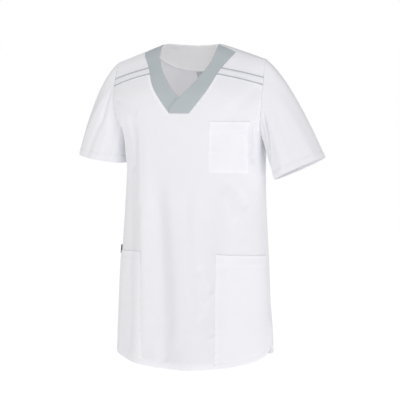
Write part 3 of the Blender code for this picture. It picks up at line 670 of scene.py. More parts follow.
def turned_hem(line, depth=HEM_DEPTH):
    """Relief of a turned hem: doubled cloth to the stitch line, a groove there, and roping."""
    def height(s, t):
        distance, place = near(line, s, t, 2 * depth)
        doubled = HEM_STANDS * ease((depth - distance) / HEM_SOFT)
        groove = -0.0007 * np.exp(-((distance - depth) / 0.0020) ** 2)
        roping = 0.00035 * ripple(place + 0.7 * distance, 0.016) * (distance < 1.6 * depth)
        return doubled + groove + roping * np.exp(-((distance - 0.8 * depth) / depth) ** 2)
    return height


def edging(line, width, strength=1.0):
    """A whiter strip beside a line: doubled cloth, and on a pocket's top a painted highlight."""
    def amount(s, t):
        distance, _ = near(line, s, t, 2 * width)
        return strength * (1 - ease((distance - width) / (0.4 * width)))
    return amount


def most(*amounts):
    return lambda s, t: np.max([amount(s, t) for amount in amounts], axis=0)


def together(*reliefs):
    return lambda s, t: sum(relief(s, t) for relief in reliefs)


def rim_edges(triangles):
    """The directed edges that only one triangle has."""
    directed = np.vstack([triangles[:, [0, 1]], triangles[:, [1, 2]], triangles[:, [2, 0]]])
    known = set(map(tuple, directed.tolist()))
    return [edge for edge in sorted(known) if (edge[1], edge[0]) not in known]


def drawn_in(flat, rim, distance):
    """The flat shape with its edges moved in by a distance, mitred at the corners."""
    before = {b: a for a, b in rim}
    moved = flat.copy()
    for vertex, ahead in rim:
        into = flat[vertex] - flat[before[vertex]]
        out = flat[ahead] - flat[vertex]
        first = np.array((-into[1], into[0])) / np.linalg.norm(into)
        second = np.array((-out[1], out[0])) / np.linalg.norm(out)
        moved[vertex] += distance * (first + second) / max(1 + first @ second, 0.35)
    return moved


def cut_flat(lines, keep, step):
    """A flat cut: chart points and triangles between the lines, where keep says so, and its size."""
    corners = []
    edges = []
    for line in lines:
        first = len(corners)
        corners.extend(line)
        edges.extend((first + k, first + k + 1) for k in range(len(line) - 1)
                     if math.dist(line[k], line[k + 1]) > 1e-9)
    corners = np.array(corners)
    low = corners.min(axis=0)
    high = corners.max(axis=0)
    columns = np.arange(math.ceil(low[0] / step), math.floor(high[0] / step) + 1) * step
    rows = np.arange(math.ceil(low[1] / step), math.floor(high[1] / step) + 1) * step
    grid = np.stack(np.meshgrid(columns, rows), axis=-1).reshape(-1, 2)
    grid = grid[keep(grid)]
    clear = np.full(len(grid), 9.0)
    for line in lines:
        clear = np.minimum(clear, near(line, grid[:, 0], grid[:, 1], step)[0])
    grid = grid[clear > 0.45 * step]
    everything = [Vector(point) for point in np.vstack([corners, grid])]
    found, _, faces, _, _, _ = delaunay_2d_cdt(everything, edges, [], 0, 1e-6)
    chart = np.array([tuple(point) for point in found])
    triangles = np.array([face[:] for face in faces])
    triangles = triangles[keep(chart[triangles].mean(axis=1))]
    a, b, c = chart[triangles[:, 0]], chart[triangles[:, 1]], chart[triangles[:, 2]]
    area = (b - a)[:, 0] * (c - a)[:, 1] - (b - a)[:, 1] * (c - a)[:, 0]
    triangles[area < 0] = triangles[area < 0][:, ::-1]
    used, local = np.unique(triangles, return_inverse=True)
    width, length = np.ptp(chart[used], axis=0)
    cut = {"flat": (round(width + 0.0005, 3), round(length + 0.0005, 3)),
           "area": round(np.abs(area).sum() / 2, 5)}
    return chart[used], local.reshape(-1, 3), cut


def cloth_piece(name, lines, keep, material, low=-WALL, high=0.0, relief=None, crown=None,
                doubled=None, step=MESH_STEP):
    """A piece of cloth laid on the form, as a thin shell with a rounded edge, and the cut's size.

    relief moves the whole shell and crown its outer side, and doubled says where the cloth lies in
    more than one layer and so looks whiter, and where a pocket's top takes a painted highlight, each by place on the
    chart.
    """
    flat, triangles, cut = cut_flat(lines, keep, step)
    rim = rim_edges(triangles)
    layers = []
    for level, draw in ((high, EDGE_ROUND), ((low + high) / 2, 0.0), (low, EDGE_ROUND)):
        s, t = drawn_in(flat, rim, SEAM_GAP / 2 + draw).T
        lift = np.full(len(s), level)
        if relief:
            lift = lift + relief(s, t)
        if crown and level == high:
            lift = lift + crown(s, t)
        layers.append((form(s, t) + normals(form, s, t) * lift[:, None], s, t))
    count = len(flat)
    ring = {vertex: 2 * count + k for k, (vertex, _) in enumerate(rim)}
    ring_points = layers[1][0][[vertex for vertex, _ in rim]]
    points = np.vstack([layers[0][0], layers[2][0], ring_points])
    faces = [tuple(face) for face in triangles[:, ::-1].tolist()]
    faces += [tuple(face) for face in (triangles + count).tolist()]
    for a, b in rim:
        faces += [(a, b, ring[b], ring[a]), (ring[a], ring[b], b + count, a + count)]
    grain = np.vstack([flat, flat, flat[[vertex for vertex, _ in rim]]])
    piece = new_piece(name, points, faces, material, grain)
    if doubled:
        layered = piece.data.attributes.new("doubled", "FLOAT", "POINT")
        layered.data.foreach_set("value", doubled(grain[:, 0], grain[:, 1]))
    return piece, cut


def placed(name, data):
    """A new object in the scene."""
    made = bpy.data.objects.new(name, data)
    bpy.context.scene.collection.objects.link(made)
    return made


def new_piece(name, points, faces, material, grain):
    """A mesh piece that rides on the body; its UV map holds the cloth's own metres."""
    mesh = bpy.data.meshes.new(name)
    mesh.from_pydata([tuple(point) for point in points], [], faces)
    layer = mesh.uv_layers.new(name="grain")
    corner = np.empty(len(mesh.loops), int)
    mesh.loops.foreach_get("vertex_index", corner)
    layer.data.foreach_set("uv", grain[corner].ravel())
    mesh.shade_smooth()
    mesh.set_sharp_from_angle(angle=math.radians(50))
    mesh.materials.append(material)
    piece = placed(name, mesh)
    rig.ride(piece, "root")
    return piece


WAVE_PER_SCALE = 0.315      # metres between the bands of a wave texture of scale 1
DOUBLED_WHITER = 0.085      # how much whiter cloth is in two layers, which let less dark through; it also scales the painted highlight on the pockets' tops
ARM_WHITER = 0.6            # the share of that beside an armhole, where the allowance turns away


def fill(tree, nodes, links, **made):
    """Adds nodes to a tree, as name, kind, settings and inputs, then links between sockets."""
    for name, kind, settings, values in nodes:
        made[name] = tree.nodes.new(kind)
        for key, value in settings.items():
            setattr(made[name], key, value)
        for key, value in values.items():
            made[name].inputs[key].default_value = value
    for source, output, target, socket in links:
        tree.links.new(made[source].outputs[output], made[target].inputs[socket])


def new_group(name, kind, sockets):
    """A node group with sockets, as name, direction, kind and value."""
    group = bpy.data.node_groups.new(name, kind)
    for socket_name, direction, socket_kind, value in sockets:
        socket = group.interface.new_socket(socket_name, in_out=direction, socket_type=socket_kind)
        if value is not None:
            socket.default_value = value
    return group


def plain_material(name, values):
    """A material with these inputs on its one shader."""
    material = bpy.data.materials.new(name)
    material.use_nodes = True
    for key, value in values.items():
        material.node_tree.nodes["Principled BSDF"].inputs[key].default_value = value
    return material


# Node group for woven cloth: thread relief, and how the tone wanders from yarn to yarn.
weave = new_group("weave", "ShaderNodeTree", (
    ("Tone", "INPUT", "NodeSocketColor", (0.9, 0.9, 0.9, 1.0)),
    ("Rib pitch", "INPUT", "NodeSocketFloat", 0.0007),
    ("Tone spread", "INPUT", "NodeSocketFloat", 0.03),
    ("Color", "OUTPUT", "NodeSocketColor", None),
    ("Height", "OUTPUT", "NodeSocketFloat", None),
    ("Roughness", "OUTPUT", "NodeSocketFloat", None),
))
fill(weave, (
    ("given", "NodeGroupInput", {}, {}),
    ("out", "NodeGroupOutput", {}, {}),
    ("grain", "ShaderNodeUVMap", {"uv_map": "grain"}, {}),
    ("ribs", "ShaderNodeMath", {"operation": "DIVIDE"}, {0: WAVE_PER_SCALE}),
    ("twill", "ShaderNodeTexWave", {"wave_type": "BANDS", "bands_direction": "DIAGONAL"},
     {"Distortion": 1.2, "Detail": 1.0}),
    ("yarn", "ShaderNodeTexNoise", {}, {"Scale": 900.0, "Detail": 2.0}),
    ("relief", "ShaderNodeMix", {"data_type": "FLOAT"}, {"Factor": 0.4}),
    ("cloud", "ShaderNodeTexNoise", {}, {"Scale": 34.0, "Detail": 5.0}),
    ("centred", "ShaderNodeMath", {"operation": "SUBTRACT"}, {1: 0.5}),
    ("spread", "ShaderNodeMath", {"operation": "MULTIPLY_ADD"}, {2: 1.0}),
    # The doubled attribute whitens the tone, for layers of cloth and for the painted highlight along the pockets'
    # tops.
    ("layers", "ShaderNodeAttribute", {"attribute_name": "doubled"}, {}),
    ("whiter", "ShaderNodeMath", {"operation": "MULTIPLY_ADD"}, {1: DOUBLED_WHITER}),
    ("toned", "ShaderNodeVectorMath", {"operation": "SCALE"}, {}),
    ("rough", "ShaderNodeMapRange", {}, {"To Min": 0.78, "To Max": 0.96}),
), (
    ("given", "Rib pitch", "ribs", 1),
    ("grain", "UV", "twill", "Vector"),
    ("ribs", 0, "twill", "Scale"),
    ("grain", "UV", "yarn", "Vector"),
    ("twill", "Fac", "relief", 2),
    ("yarn", "Fac", "relief", 3),
    ("relief", 0, "out", "Height"),
    ("grain", "UV", "cloud", "Vector"),
    ("cloud", "Fac", "centred", 0),
    ("centred", 0, "spread", 0),
    ("given", "Tone spread", "spread", 1),
    ("layers", "Fac", "whiter", 0),
    ("spread", 0, "whiter", 2),
    ("given", "Tone", "toned", 0),
    ("whiter", 0, "toned", "Scale"),
    ("toned", 0, "out", "Color"),
    ("cloud", "Fac", "rough", "Value"),
    ("rough", 0, "out", "Roughness"),
))


def cloth_material(name, tone, rib_pitch=0.0007, relief=0.00006, spread=0.03):
    """Matte woven cloth in one tone."""
    material = plain_material(name, {"Sheen Weight": 0.08, "Sheen Roughness": 0.5,
                                     "Specular IOR Level": 0.2})
    fill(material.node_tree, (
        ("threads", "ShaderNodeGroup", {"node_tree": weave},
         {"Tone": (*tone, 1.0), "Rib pitch": rib_pitch, "Tone spread": spread}),
        ("bump", "ShaderNodeBump", {}, {"Distance": relief, "Strength": 0.6}),
    ), (
        ("threads", "Color", "shader", "Base Color"),
        ("threads", "Roughness", "shader", "Roughness"),
        ("threads", "Height", "bump", "Height"),
        ("bump", "Normal", "shader", "Normal"),
    ), shader=material.node_tree.nodes["Principled BSDF"])
    return material


white_cloth = cloth_material("white_cloth", (0.86, 0.86, 0.895))


def on_front(points):
    return inside(cloth_edge, points) & (points[:, 1] > SHOULDER_SEAM)


def closed(outline):
    return np.vstack([outline, outline[:1]])


half_hem = np.vstack([front_vent[:-1], front_hem])
whole_hem = whole(half_hem)
front_relief = together(
    turned_hem(whole_hem), dips(band_outer, front_side), seam_dip(band_bottom),
    dips(arm_front, depth=SEAM_FLAT), dips(lower_piping[1], pucker=SEAM_FLAT))
front_body, cut = cloth_piece(
    "front_panel",
    [closed(cloth_edge[cloth_edge[:, 1] > -0.001]), closed(band_opening), lower_piping[1],
     mirrored(lower_piping[1])],
    lambda points: (on_front(points) & ~inside(band_opening, points)
                    & below(lower_piping[1], points)),
    white_cloth, relief=front_relief,
    doubled=most(edging(whole_hem, HEM_DEPTH), edging(band_opening, ALLOWANCE),
                 edging(lower_piping[1], ALLOWANCE), edging(mirrored(lower_piping[1]), ALLOWANCE),
                 edging(arm_front, ALLOWANCE, ARM_WHITER),
                 edging(mirrored(arm_front), ALLOWANCE, ARM_WHITER)))
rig.replaces(front_body, "front_body")
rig.slot(front_body, "white_cloth")
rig.sheet(front_body, **cut, held="hung", rests_on=["yoke_strip_left", "yoke_strip_right"])

# ---------------------------------------------------------------- shoulder pieces and piping
# Above the front lie two narrow strips of the same twill on each shoulder. A grey-blue piping, a
# bias strip folded over a thin cord, is caught in the seam on both sides of the lower strip.

PIPING_CROWN = 0.0010       # the piping's cord stands this much above the cloth
NARROW_DIP = 0.0024         # width of the dip at each edge of the narrow strips
grey_blue_cord = cloth_material("grey_blue_piping", (0.50, 0.53, 0.56), rib_pitch=0.0005,
                                relief=0.00008, spread=0.06)
shoulder_lines = [closed(cloth_edge[(cloth_edge[:, 1] > -0.001) & (cloth_edge[:, 1] < 0.17)]),
                  closed(band_opening), shoulder_cut]
for edge in (*upper_piping, *lower_piping):
    shoulder_lines += [edge, mirrored(edge)]


def between(top, bottom, side, points):
    """The part of one shoulder under one line and above the next."""
    kept = on_front(points) & ~inside(band_opening, points) & (side * points[:, 0] > 0)
    if top is not None:
        kept &= below(top, points)
    return kept & ~below(bottom, points)


def round_back(edges):
    """A round back for a piping between its two edges."""
    def height(s, t):
        top = np.interp(np.abs(s), edges[0][:, 0], edges[0][:, 1])
        bottom = np.interp(np.abs(s), edges[1][:, 0], edges[1][:, 1])
        share = np.clip((t - top) / (bottom - top), 0.0, 1.0)
        return PIPING_CROWN * 4 * share * (1 - share)
    return height


for hand, side in (("left", 1), ("right", -1)):
    seams = [edge * (side, 1) for edge in (upper_piping[0], upper_piping[1], lower_piping[0])]
    ends = [seam_dip(band_outer * (side, 1)), seam_dip(arm_front * (side, 1))]
    strips = (
        # name, line above, line below, relief
        ("yoke_upper", None, upper_piping[0], together(seam_dip(seams[0], pucker=SEAM_FLAT), *ends)),
        ("yoke_strip", upper_piping[1], lower_piping[0],
         together(seam_dip(seams[1], width=NARROW_DIP, pucker=0.0), seam_dip(seams[2], width=NARROW_DIP),
                  *ends)),
    )
    for name, top, bottom, relief in strips:
        strip, cut = cloth_piece(
            f"{name}_{hand}_cloth", shoulder_lines,
            lambda points, top=top, bottom=bottom: between(top, bottom, side, points),
            white_cloth, relief=relief, step=FINE_STEP)
        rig.replaces(strip, f"{name}_{hand}")
        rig.slot(strip, "white_cloth")
        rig.sheet(strip, **cut, held="stretched", rests_on=["back_body"])
    for name, edges in (("upper", upper_piping), ("lower", lower_piping)):
        cord, _ = cloth_piece(
            f"piping_{name}_{hand}_cord", shoulder_lines,
            lambda points, edges=edges: between(edges[0], edges[1], side, points),
            grey_blue_cord, crown=round_back(edges), step=PIPING_STEP)
        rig.replaces(cord, f"piping_{name}_{hand}")
        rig.slot(cord, "grey_blue_piping")

# ---------------------------------------------------------------- contrast band
# A folded double strip of grey-blue twill finishes the V. Each side is seamed to the front along its
# outer edge and folded along its neck edge. The side on the viewer's right crosses on top.

UNDER_BAND_END = 0.019      # the under band runs on beneath the other to this x at the bottom edge
BAND_CUT = (0.045, 0.190)   # width and length of each band as it shows
BAND_LIFT = {"from_drop": 0.080, "full_at": 0.110}
BAND_LAYERS = 2.0           # the under band is folded double
BAND_TOP_AT = 0.0015        # the band's neck corner comes this near the shoulder ridge
CROSSING_BOW = 0.0040       # the crossing edge curves this much towards the under band
grey_blue_cloth = cloth_material("grey_blue_cloth", (0.475, 0.520, 0.545), spread=0.05)
neck_point = np.array((neck_front[0, 0] + 0.0004, BAND_TOP_AT))
neck_inner = np.vstack([straight(neck_point, neck_front[0])[:-1], neck_front])
band_top = straight(neck_inner[0], band_outer[0])
crossing_middle = (neck_inner[-1] + mirrored(band_outer[-1])) / 2 + (-CROSSING_BOW, 0.0)
crossing = smooth_line([neck_inner[-1], crossing_middle, mirrored(band_outer[-1])])
band_over = np.vstack([band_outer, band_bottom[1:], crossing[::-1][1:], neck_inner[::-1][1:],
                       band_top[1:-1]])
under_end = np.array([on_chart([(UNDER_BAND_END, BAND_OUTER[-1][1])])[0][0], band_outer[-1, 1]])
under_bottom = band_bottom[::-1][band_bottom[::-1][:, 0] < under_end[0] - 0.002]
band_under = np.vstack([mirrored(band_outer), under_bottom[1:], straight(under_end, neck_inner[-1]),
                        mirrored(neck_inner)[::-1][1:], mirrored(band_top)[1:-1]])


def climbs(s, t):
    """The over band climbs onto the other towards the point of the V."""
    drop = front_at(np.abs(t))[:, 0]
    share = (drop - BAND_LIFT["from_drop"]) / (BAND_LIFT["full_at"] - BAND_LIFT["from_drop"])
    return BAND_LAYERS * LAYER * ease(share)


def folded_edge(line, depth=0.0045):
    """The soft roll of a folded edge."""
    def height(s, t):
        distance, place = near(line, s, t, 2 * depth)
        roll = 0.0006 * np.exp(-((distance - 0.6 * depth) / (0.5 * depth)) ** 2)
        return roll + 0.00025 * np.exp(-(distance / depth) ** 2) * ripple(place, 0.021)
    return height


for name, node, outline, relief in (
    ("neckband_over_cloth", "neckband_over", band_over,
     together(climbs, seam_dip(band_outer), folded_edge(neck_inner), folded_edge(crossing))),
    ("neckband_under_cloth", "neckband_under", band_under,
     together(seam_dip(mirrored(band_outer)), folded_edge(mirrored(neck_inner)))),
):
    band, cut = cloth_piece(name, [closed(outline)], lambda points: inside(outline, points),
                            grey_blue_cloth, relief=relief, step=FINE_STEP)
    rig.replaces(band, node)
    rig.slot(band, "grey_blue_cloth")
    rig.sheet(band, flat=BAND_CUT, area=cut["area"], held="stretched",
             rests_on=["front_body", "back_body"])

# ---------------------------------------------------------------- back, facing and label
# The back is one piece of the white twill, brought over the shoulders to the front by 12 mm. Inside
# the back neck lies a half-moon facing, turned under and stitched down, with a small woven label.

BACK_NECK = (
    # x, t (negative: behind the ridge)
    (0.0680, 0.000),
    (0.0650, -0.014),
    (0.0530, -0.029),
    (0.0300, -0.038),
    (0.0000, -0.042),
)
FACING_EDGE = (
    # x, z of the half-moon's lower edge
    (0.1080, -0.0030),
    (0.0976, -0.0145),
    (0.0768, -0.0310),
    (0.0480, -0.0395),
    (0.0000, -0.0420),
)
FACING_TURN = 0.0035        # width of the facing's turned edge
LABEL = {"half_width": 0.022, "z_top": -0.0450, "z_bottom": -0.0600}


def s_at_ridge(x):
    """Chart s of a place on the shoulder ridge."""
    places = np.linspace(0.0, SIDE_S, 2000)
    return np.interp(x, plain_form(places, np.zeros(2000))[:, 0], places)


def patch_outline(s0, s1, z_top, z_bottom, front=True, spread=0.0):
    """A patch with level ends, which may be wider at the bottom by the spread."""
    count = max(2, math.ceil(abs(s1 - s0) / EDGE_STEP))
    top_s = np.linspace(s0, s1, count)
    bottom_s = np.linspace(s0, s1 + spread, count)
    top = np.stack([top_s, t_at_height(top_s, z_top, front)], axis=1)
    bottom = np.stack([bottom_s, t_at_height(bottom_s, z_bottom, front)], axis=1)[::-1]
    right = straight(top[-1], bottom[0])
    left = straight(bottom[-1], top[0])
    return np.vstack([top, right[1:-1], bottom, left[1:-1]])


back_neck = smooth_line([(s_at_ridge(x), t) for x, t in BACK_NECK])
neck_opening = closed_by_mirror(np.vstack([neck_front[::-1], back_neck]))
half_back_hem = np.vstack([back_vent[:-1], back_hem])
whole_back_hem = whole(half_back_hem)
whole_back_neck = whole(back_neck)
back_relief = together(
    turned_hem(whole_back_hem), seam_dip(shoulder_cut), dips(band_top, arm_back, back_side),
    folded_edge(whole_back_neck))
back_body, cut = cloth_piece(
    "back_panel",
    [closed(cloth_edge), closed(neck_opening), shoulder_cut, band_top, mirrored(band_top)],
    lambda points: (inside(cloth_edge, points) & ~inside(neck_opening, points)
                    & (points[:, 1] < SHOULDER_SEAM)
                    & ~inside(band_over, points) & ~inside(band_under, points)),
    white_cloth, relief=back_relief,
    doubled=most(edging(whole_back_hem, HEM_DEPTH), edging(shoulder_cut, ALLOWANCE),
                 edging(whole_back_neck, ALLOWANCE)))
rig.replaces(back_body, "back_body")
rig.slot(back_body, "white_cloth")
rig.sheet(back_body, **cut, held="hung", rests_on=["front_body"])

facing_lower = on_chart(smooth_line(FACING_EDGE), front=False)
facing_lower[-1, 0] = 0.0
facing_outline = closed_by_mirror(np.vstack([
    facing_lower[::-1], [(facing_lower[0, 0], 0.0)], back_neck]))
whole_facing_edge = whole(facing_lower)
# The facing takes a whiter copy of the white twill: its extra whiteness is painted light, lifting the facing out of
# the shade inside the neck.
facing_cloth = cloth_material("facing_cloth", (0.94, 0.94, 0.96))
facing, cut = cloth_piece(
    "back_neck_facing_cloth", [closed(facing_outline)],
    lambda points: inside(facing_outline, points),
    facing_cloth, low=-WALL - LAYER, high=-LAYER, step=FINE_STEP,
    doubled=edging(whole_facing_edge, FACING_TURN))
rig.replaces(facing, "back_neck_facing")
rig.slot(facing, "white_cloth")
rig.sheet(facing, **cut, held="laid", rests_on=["back_body"])

label_cloth = cloth_material("woven_label", (0.55, 0.57, 0.62), rib_pitch=0.0004, spread=0.10)
label_s = on_chart([(LABEL["half_width"], LABEL["z_top"])], front=False)[0, 0]
label_outline = patch_outline(-label_s, label_s, LABEL["z_top"], LABEL["z_bottom"], front=False)
label, _ = cloth_piece("neck_label_cloth", [closed(label_outline)],
                       lambda points: inside(label_outline, points), label_cloth,
                       low=-WALL - LAYER, high=-LAYER, step=LABEL_STEP)
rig.replaces(label, "neck_label")
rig.slot(label, "woven_label")

# ---------------------------------------------------------------- pockets
# Three patch pockets of the same twill lie on the front, each with a deep turned top hem. The two
# lower ones are caught in the side seam and run down into the hem.

POCKET_INNER_X = {"left": 0.0885, "right": 0.1000}   # the narrower one lies at -X
POCKET_HEM_X = {"left": 0.0880, "right": 0.0940}     # the inner edge again, at the hem
CHEST_POCKET = {"x_inner": 0.0754, "x_outer": 0.161, "z_top": -0.154, "z_bottom": -0.270,
                "spread": 0.008}
POCKET_HEM = 0.026          # depth of a pocket's top hem
POCKET_PUFF = 0.0016        # how far a pocket stands off the front at its middle
POCKET_WALL = 0.0007        # thickness of the pockets' cloth
POCKET_SEAM = 0.0065        # width of a pocket's turned edges, up to the inner stitch row

POCKET_WHITER = 0.45        # how much of two layers' whiteness a pocket gets from the front under it
POCKET_TOP_HIGHLIGHT = 0.004          # width of the painted highlight along a pocket's folded top, a whiter strip
POCKET_TURN_WHITER = 0.35   # what a pocket's turned edges add
hem_t = front_hem[:, 1].max() + 0.01   # below the whole hem


def pocket_lines(hand):
    """A lower pocket's top edge and inner edge, drawn on the viewer's right half of the chart."""
    top_s = on_chart([(POCKET_INNER_X[hand], POCKET_TOP_Z)])[0, 0]
    hem_s = on_chart([(POCKET_HEM_X[hand], HEM_Z)])[0, 0]
    top = np.arange(top_s, SIDE_S + EDGE_STEP, EDGE_STEP).clip(max=SIDE_S)
    fall = POCKET_FALL * (top - top_s) / (SIDE_S - top_s)
    line = np.stack([top, t_at_height(top, POCKET_TOP_Z - fall)], axis=1)
    return line, straight(line[0], (hem_s, hem_t))


def puffed(outline_part, depth=0.030):
    """A pocket stands a little off the front between its sewn edges."""
    def height(s, t):
        distance, _ = near(outline_part, s, t, depth)
        return POCKET_PUFF * ease(distance / depth)
    return height


def puffed_below(top, outline_part, depth=0.030):
    """The same, but flat again at the open top edge."""
    body = puffed(outline_part)

    def height(s, t):
        distance, _ = near(top, s, t, depth)
        return body(s, t) * ease(distance / depth)
    return height


def pocket_whiter(top, *turned):
    """How white a pocket is: all over from its two layers, more along its top from a painted highlight, and more at
    lines with their widths.
    """
    return together(lambda s, t: np.full(len(s), POCKET_WHITER), edging(top, POCKET_TOP_HIGHLIGHT, POCKET_WHITER),
                    *(edging(line, width, POCKET_TURN_WHITER) for line, width in turned))


on_panel = {"low": SEAM_GAP, "high": POCKET_WALL}
pocket_relief = {}
for hand, side in (("left", 1), ("right", -1)):
    top, inner_edge = pocket_lines(hand)
    line = top * (side, 1)
    inner = inner_edge * (side, 1)
    sides = [inner, front_side * (side, 1), np.vstack([front_vent, front_hem]) * (side, 1)]

    sewn_down = np.vstack([inner[::-1], sides[1][sides[1][:, 1] > line[0, 1]]])
    pocket_relief[hand] = together(
        turned_hem(line, POCKET_HEM), turned_hem(sides[2]), seam_dip(inner, depth=0.0),
        seam_dip(sides[1]), puffed_below(line, sewn_down))

    def in_pocket(points):
        inner_s = np.interp(points[:, 1], inner_edge[:, 1], inner_edge[:, 0])
        return on_front(points) & (side * points[:, 0] > inner_s) & below(top, points)

    pocket, cut = cloth_piece(
        f"pocket_lower_{hand}_cloth",
        [cloth_edge[(cloth_edge[:, 1] > 0.40) & (side * cloth_edge[:, 0] > 0)], line, inner],
        in_pocket, white_cloth, step=FINE_STEP, relief=pocket_relief[hand],
        doubled=pocket_whiter(line, (inner, POCKET_SEAM), (sides[2], HEM_DEPTH)), **on_panel)
    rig.replaces(pocket, f"pocket_lower_{hand}")
    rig.slot(pocket, "white_cloth")
    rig.sheet(pocket, **cut, held="laid", rests_on=["front_body"])

chest_corners = on_chart([(CHEST_POCKET["x_inner"], CHEST_POCKET["z_top"]),
                          (CHEST_POCKET["x_outer"], CHEST_POCKET["z_top"])])
chest_outline = patch_outline(chest_corners[0, 0], chest_corners[1, 0], CHEST_POCKET["z_top"],
                              CHEST_POCKET["z_bottom"], spread=CHEST_POCKET["spread"])
chest_top = chest_outline[:max(2, math.ceil((chest_corners[1, 0] - chest_corners[0, 0]) / EDGE_STEP))]
chest_sides = chest_outline[len(chest_top) - 1:]
chest_relief = together(turned_hem(chest_top, POCKET_HEM), seam_dip(chest_sides, depth=0.0),
                        puffed_below(chest_top, chest_sides))
chest_pocket, cut = cloth_piece(
    "chest_pocket_cloth", [closed(chest_outline)], lambda points: inside(chest_outline, points),
    white_cloth, step=FINE_STEP, relief=chest_relief,
    doubled=pocket_whiter(chest_top, (chest_sides, POCKET_SEAM)), **on_panel)
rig.replaces(chest_pocket, "chest_pocket")
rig.slot(chest_pocket, "white_cloth")
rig.sheet(chest_pocket, **cut, held="laid", rests_on=["front_body"])

# ---------------------------------------------------------------- side tab
# A short dark woven tape, folded double, with its two ends caught in the side seam on the viewer's
# left. It is plain and stands out of the seam.

TAB = {"reach": 0.0105, "thick": 0.0014, "z_top": -0.4510, "z_bottom": -0.4715}
TAPE = 0.0005               # thickness of the tape itself


def folded_tape(z, turns=9):
    """The tape's outline at one height: outer points, then the inner ones, from end to end."""
    seam_x = form(np.array([-SIDE_S]), t_at_height(-SIDE_S, np.array([z])))[0, 0] - SEAM_GAP
    half = TAB["thick"] / 2
    angles = np.linspace(-math.pi / 2, math.pi / 2, turns)
    rows = []
    for radius in (half, half - TAPE):
        bend = [(-TAB["reach"] + half - radius * math.cos(angle), half + radius * math.sin(angle))
                for angle in angles]
        rows.append([(0.0, half - radius)] + bend + [(0.0, half + radius)])
    return [[(seam_x + x, SEAM_GAP + y, z) for x, y in row] for row in rows]


tape = cloth_material("woven_tab", (0.030, 0.045, 0.085), rib_pitch=0.0005, relief=0.0001, spread=0.2)
tape_rows = [folded_tape(z) for z in np.linspace(TAB["z_bottom"], TAB["z_top"], 21)]
across = len(tape_rows[0][0])
tape_points = np.array(tape_rows).reshape(-1, 3)
ring_size = 2 * across
tape_faces = []
for row in range(len(tape_rows) - 1):
    around = list(range(across)) + list(range(ring_size - 1, across - 1, -1))
    for here, ahead in zip(around, around[1:] + around[:1]):
        first, second = row * ring_size + here, row * ring_size + ahead
        tape_faces.append((second, first, first + ring_size, second + ring_size))
for row, step in ((0, 1), (len(tape_rows) - 1, -1)):
    for k in range(across - 1):
        corners = (k, k + 1, across + k + 1, across + k)[::step]
        tape_faces.append(tuple(row * ring_size + corner for corner in corners))
tab = new_piece("side_tab_tape", tape_points, tape_faces, tape, tape_points[:, [0, 2]])
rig.replaces(tab, "side_tab")
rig.slot(tab, "woven_tab")

# ---------------------------------------------------------------- sleeves
# Each short sleeve is one piece of the twill, closed under the arm, set into the armhole and hemmed
# with a turned edge. It hangs open and hollow, wider at the hem than at the armhole.

SLEEVES = {
    "left": {"side": 1, "centre": (0.2595, 0.010, -0.2615), "across": 0.0635, "deep": 0.0600,
             "tilt": 25.0, "cap_fall": 38.0, "flat": (0.42, 0.23), "area": 0.062},
    "right": {"side": -1, "centre": (0.2255, 0.012, -0.2475), "across": 0.0560, "deep": 0.0670,
              "tilt": 10.5, "cap_fall": 34.0, "flat": (0.42, 0.20), "area": 0.053},
}
CAP_PULL = 0.75             # how far a sleeve keeps its direction at the armhole, and at the hem
HEM_PULL = 0.80
SLEEVE_ROWS = 52
SLEEVE_HEM = 0.020
SLEEVE_CREASES = (
    # hand, turn0, down0, turn1, down1, half width in m, height (turn 0 is under the arm, 0.25 in front)
    ("right", 0.34, 0.02, 0.27, 0.45, 0.008, -0.0030),
    ("right", 0.27, 0.10, 0.30, 1.00, 0.010, -0.0032),
    ("right", 0.36, 0.12, 0.38, 1.00, 0.012, 0.0028),
    ("right", 0.20, 0.30, 0.21, 1.00, 0.010, 0.0024),
    ("right", 0.13, 0.10, 0.14, 1.00, 0.010, -0.0034),
    ("right", 0.70, 0.10, 0.76, 0.95, 0.012, -0.0030),
    ("right", 0.62, 0.20, 0.60, 1.00, 0.012, 0.0024),
    ("left", 0.22, 0.02, 0.11, 0.60, 0.0075, -0.0062),
    ("left", 0.16, 0.00, 0.05, 0.75, 0.0075, -0.0056),
    ("left", 0.25, 0.05, 0.19, 0.95, 0.011, 0.0026),
    ("left", 0.31, 0.12, 0.29, 0.95, 0.012, -0.0022),
    ("left", 0.38, 0.15, 0.40, 1.00, 0.014, 0.0022),
    ("left", 0.72, 0.05, 0.66, 0.90, 0.012, -0.0030),
    ("left", 0.80, 0.10, 0.82, 1.00, 0.012, 0.0022),
)


def sleeve_ring(side):
    """The armhole seam as a closed ring from the underarm up the front and down the back."""
    ring = np.vstack([arm_front[::-1], arm_back[1:-1]]) * (side, 1)
    s, t = ring.T
    along = np.roll(ring, -1, axis=0) - np.roll(ring, 1, axis=0)
    out = np.stack([along[:, 1], -along[:, 0]], axis=1)
    out /= np.linalg.norm(out, axis=1, keepdims=True)
    if (out[len(arm_front) // 2, 0] > 0) != (side > 0):
        out = -out
    out[0] = (side, 0.0)
    seam = form(s, t)
    ahead = form(s + out[:, 0] * PROBE, t + out[:, 1] * PROBE) - seam
    ahead[0] = (0.0, 0.0, 1.0)
    ahead /= np.linalg.norm(ahead, axis=1, keepdims=True)
    outward = normals(form, s, t)
    outward[0] = (side, 0.0, 0.0)
    return seam, ahead, outward


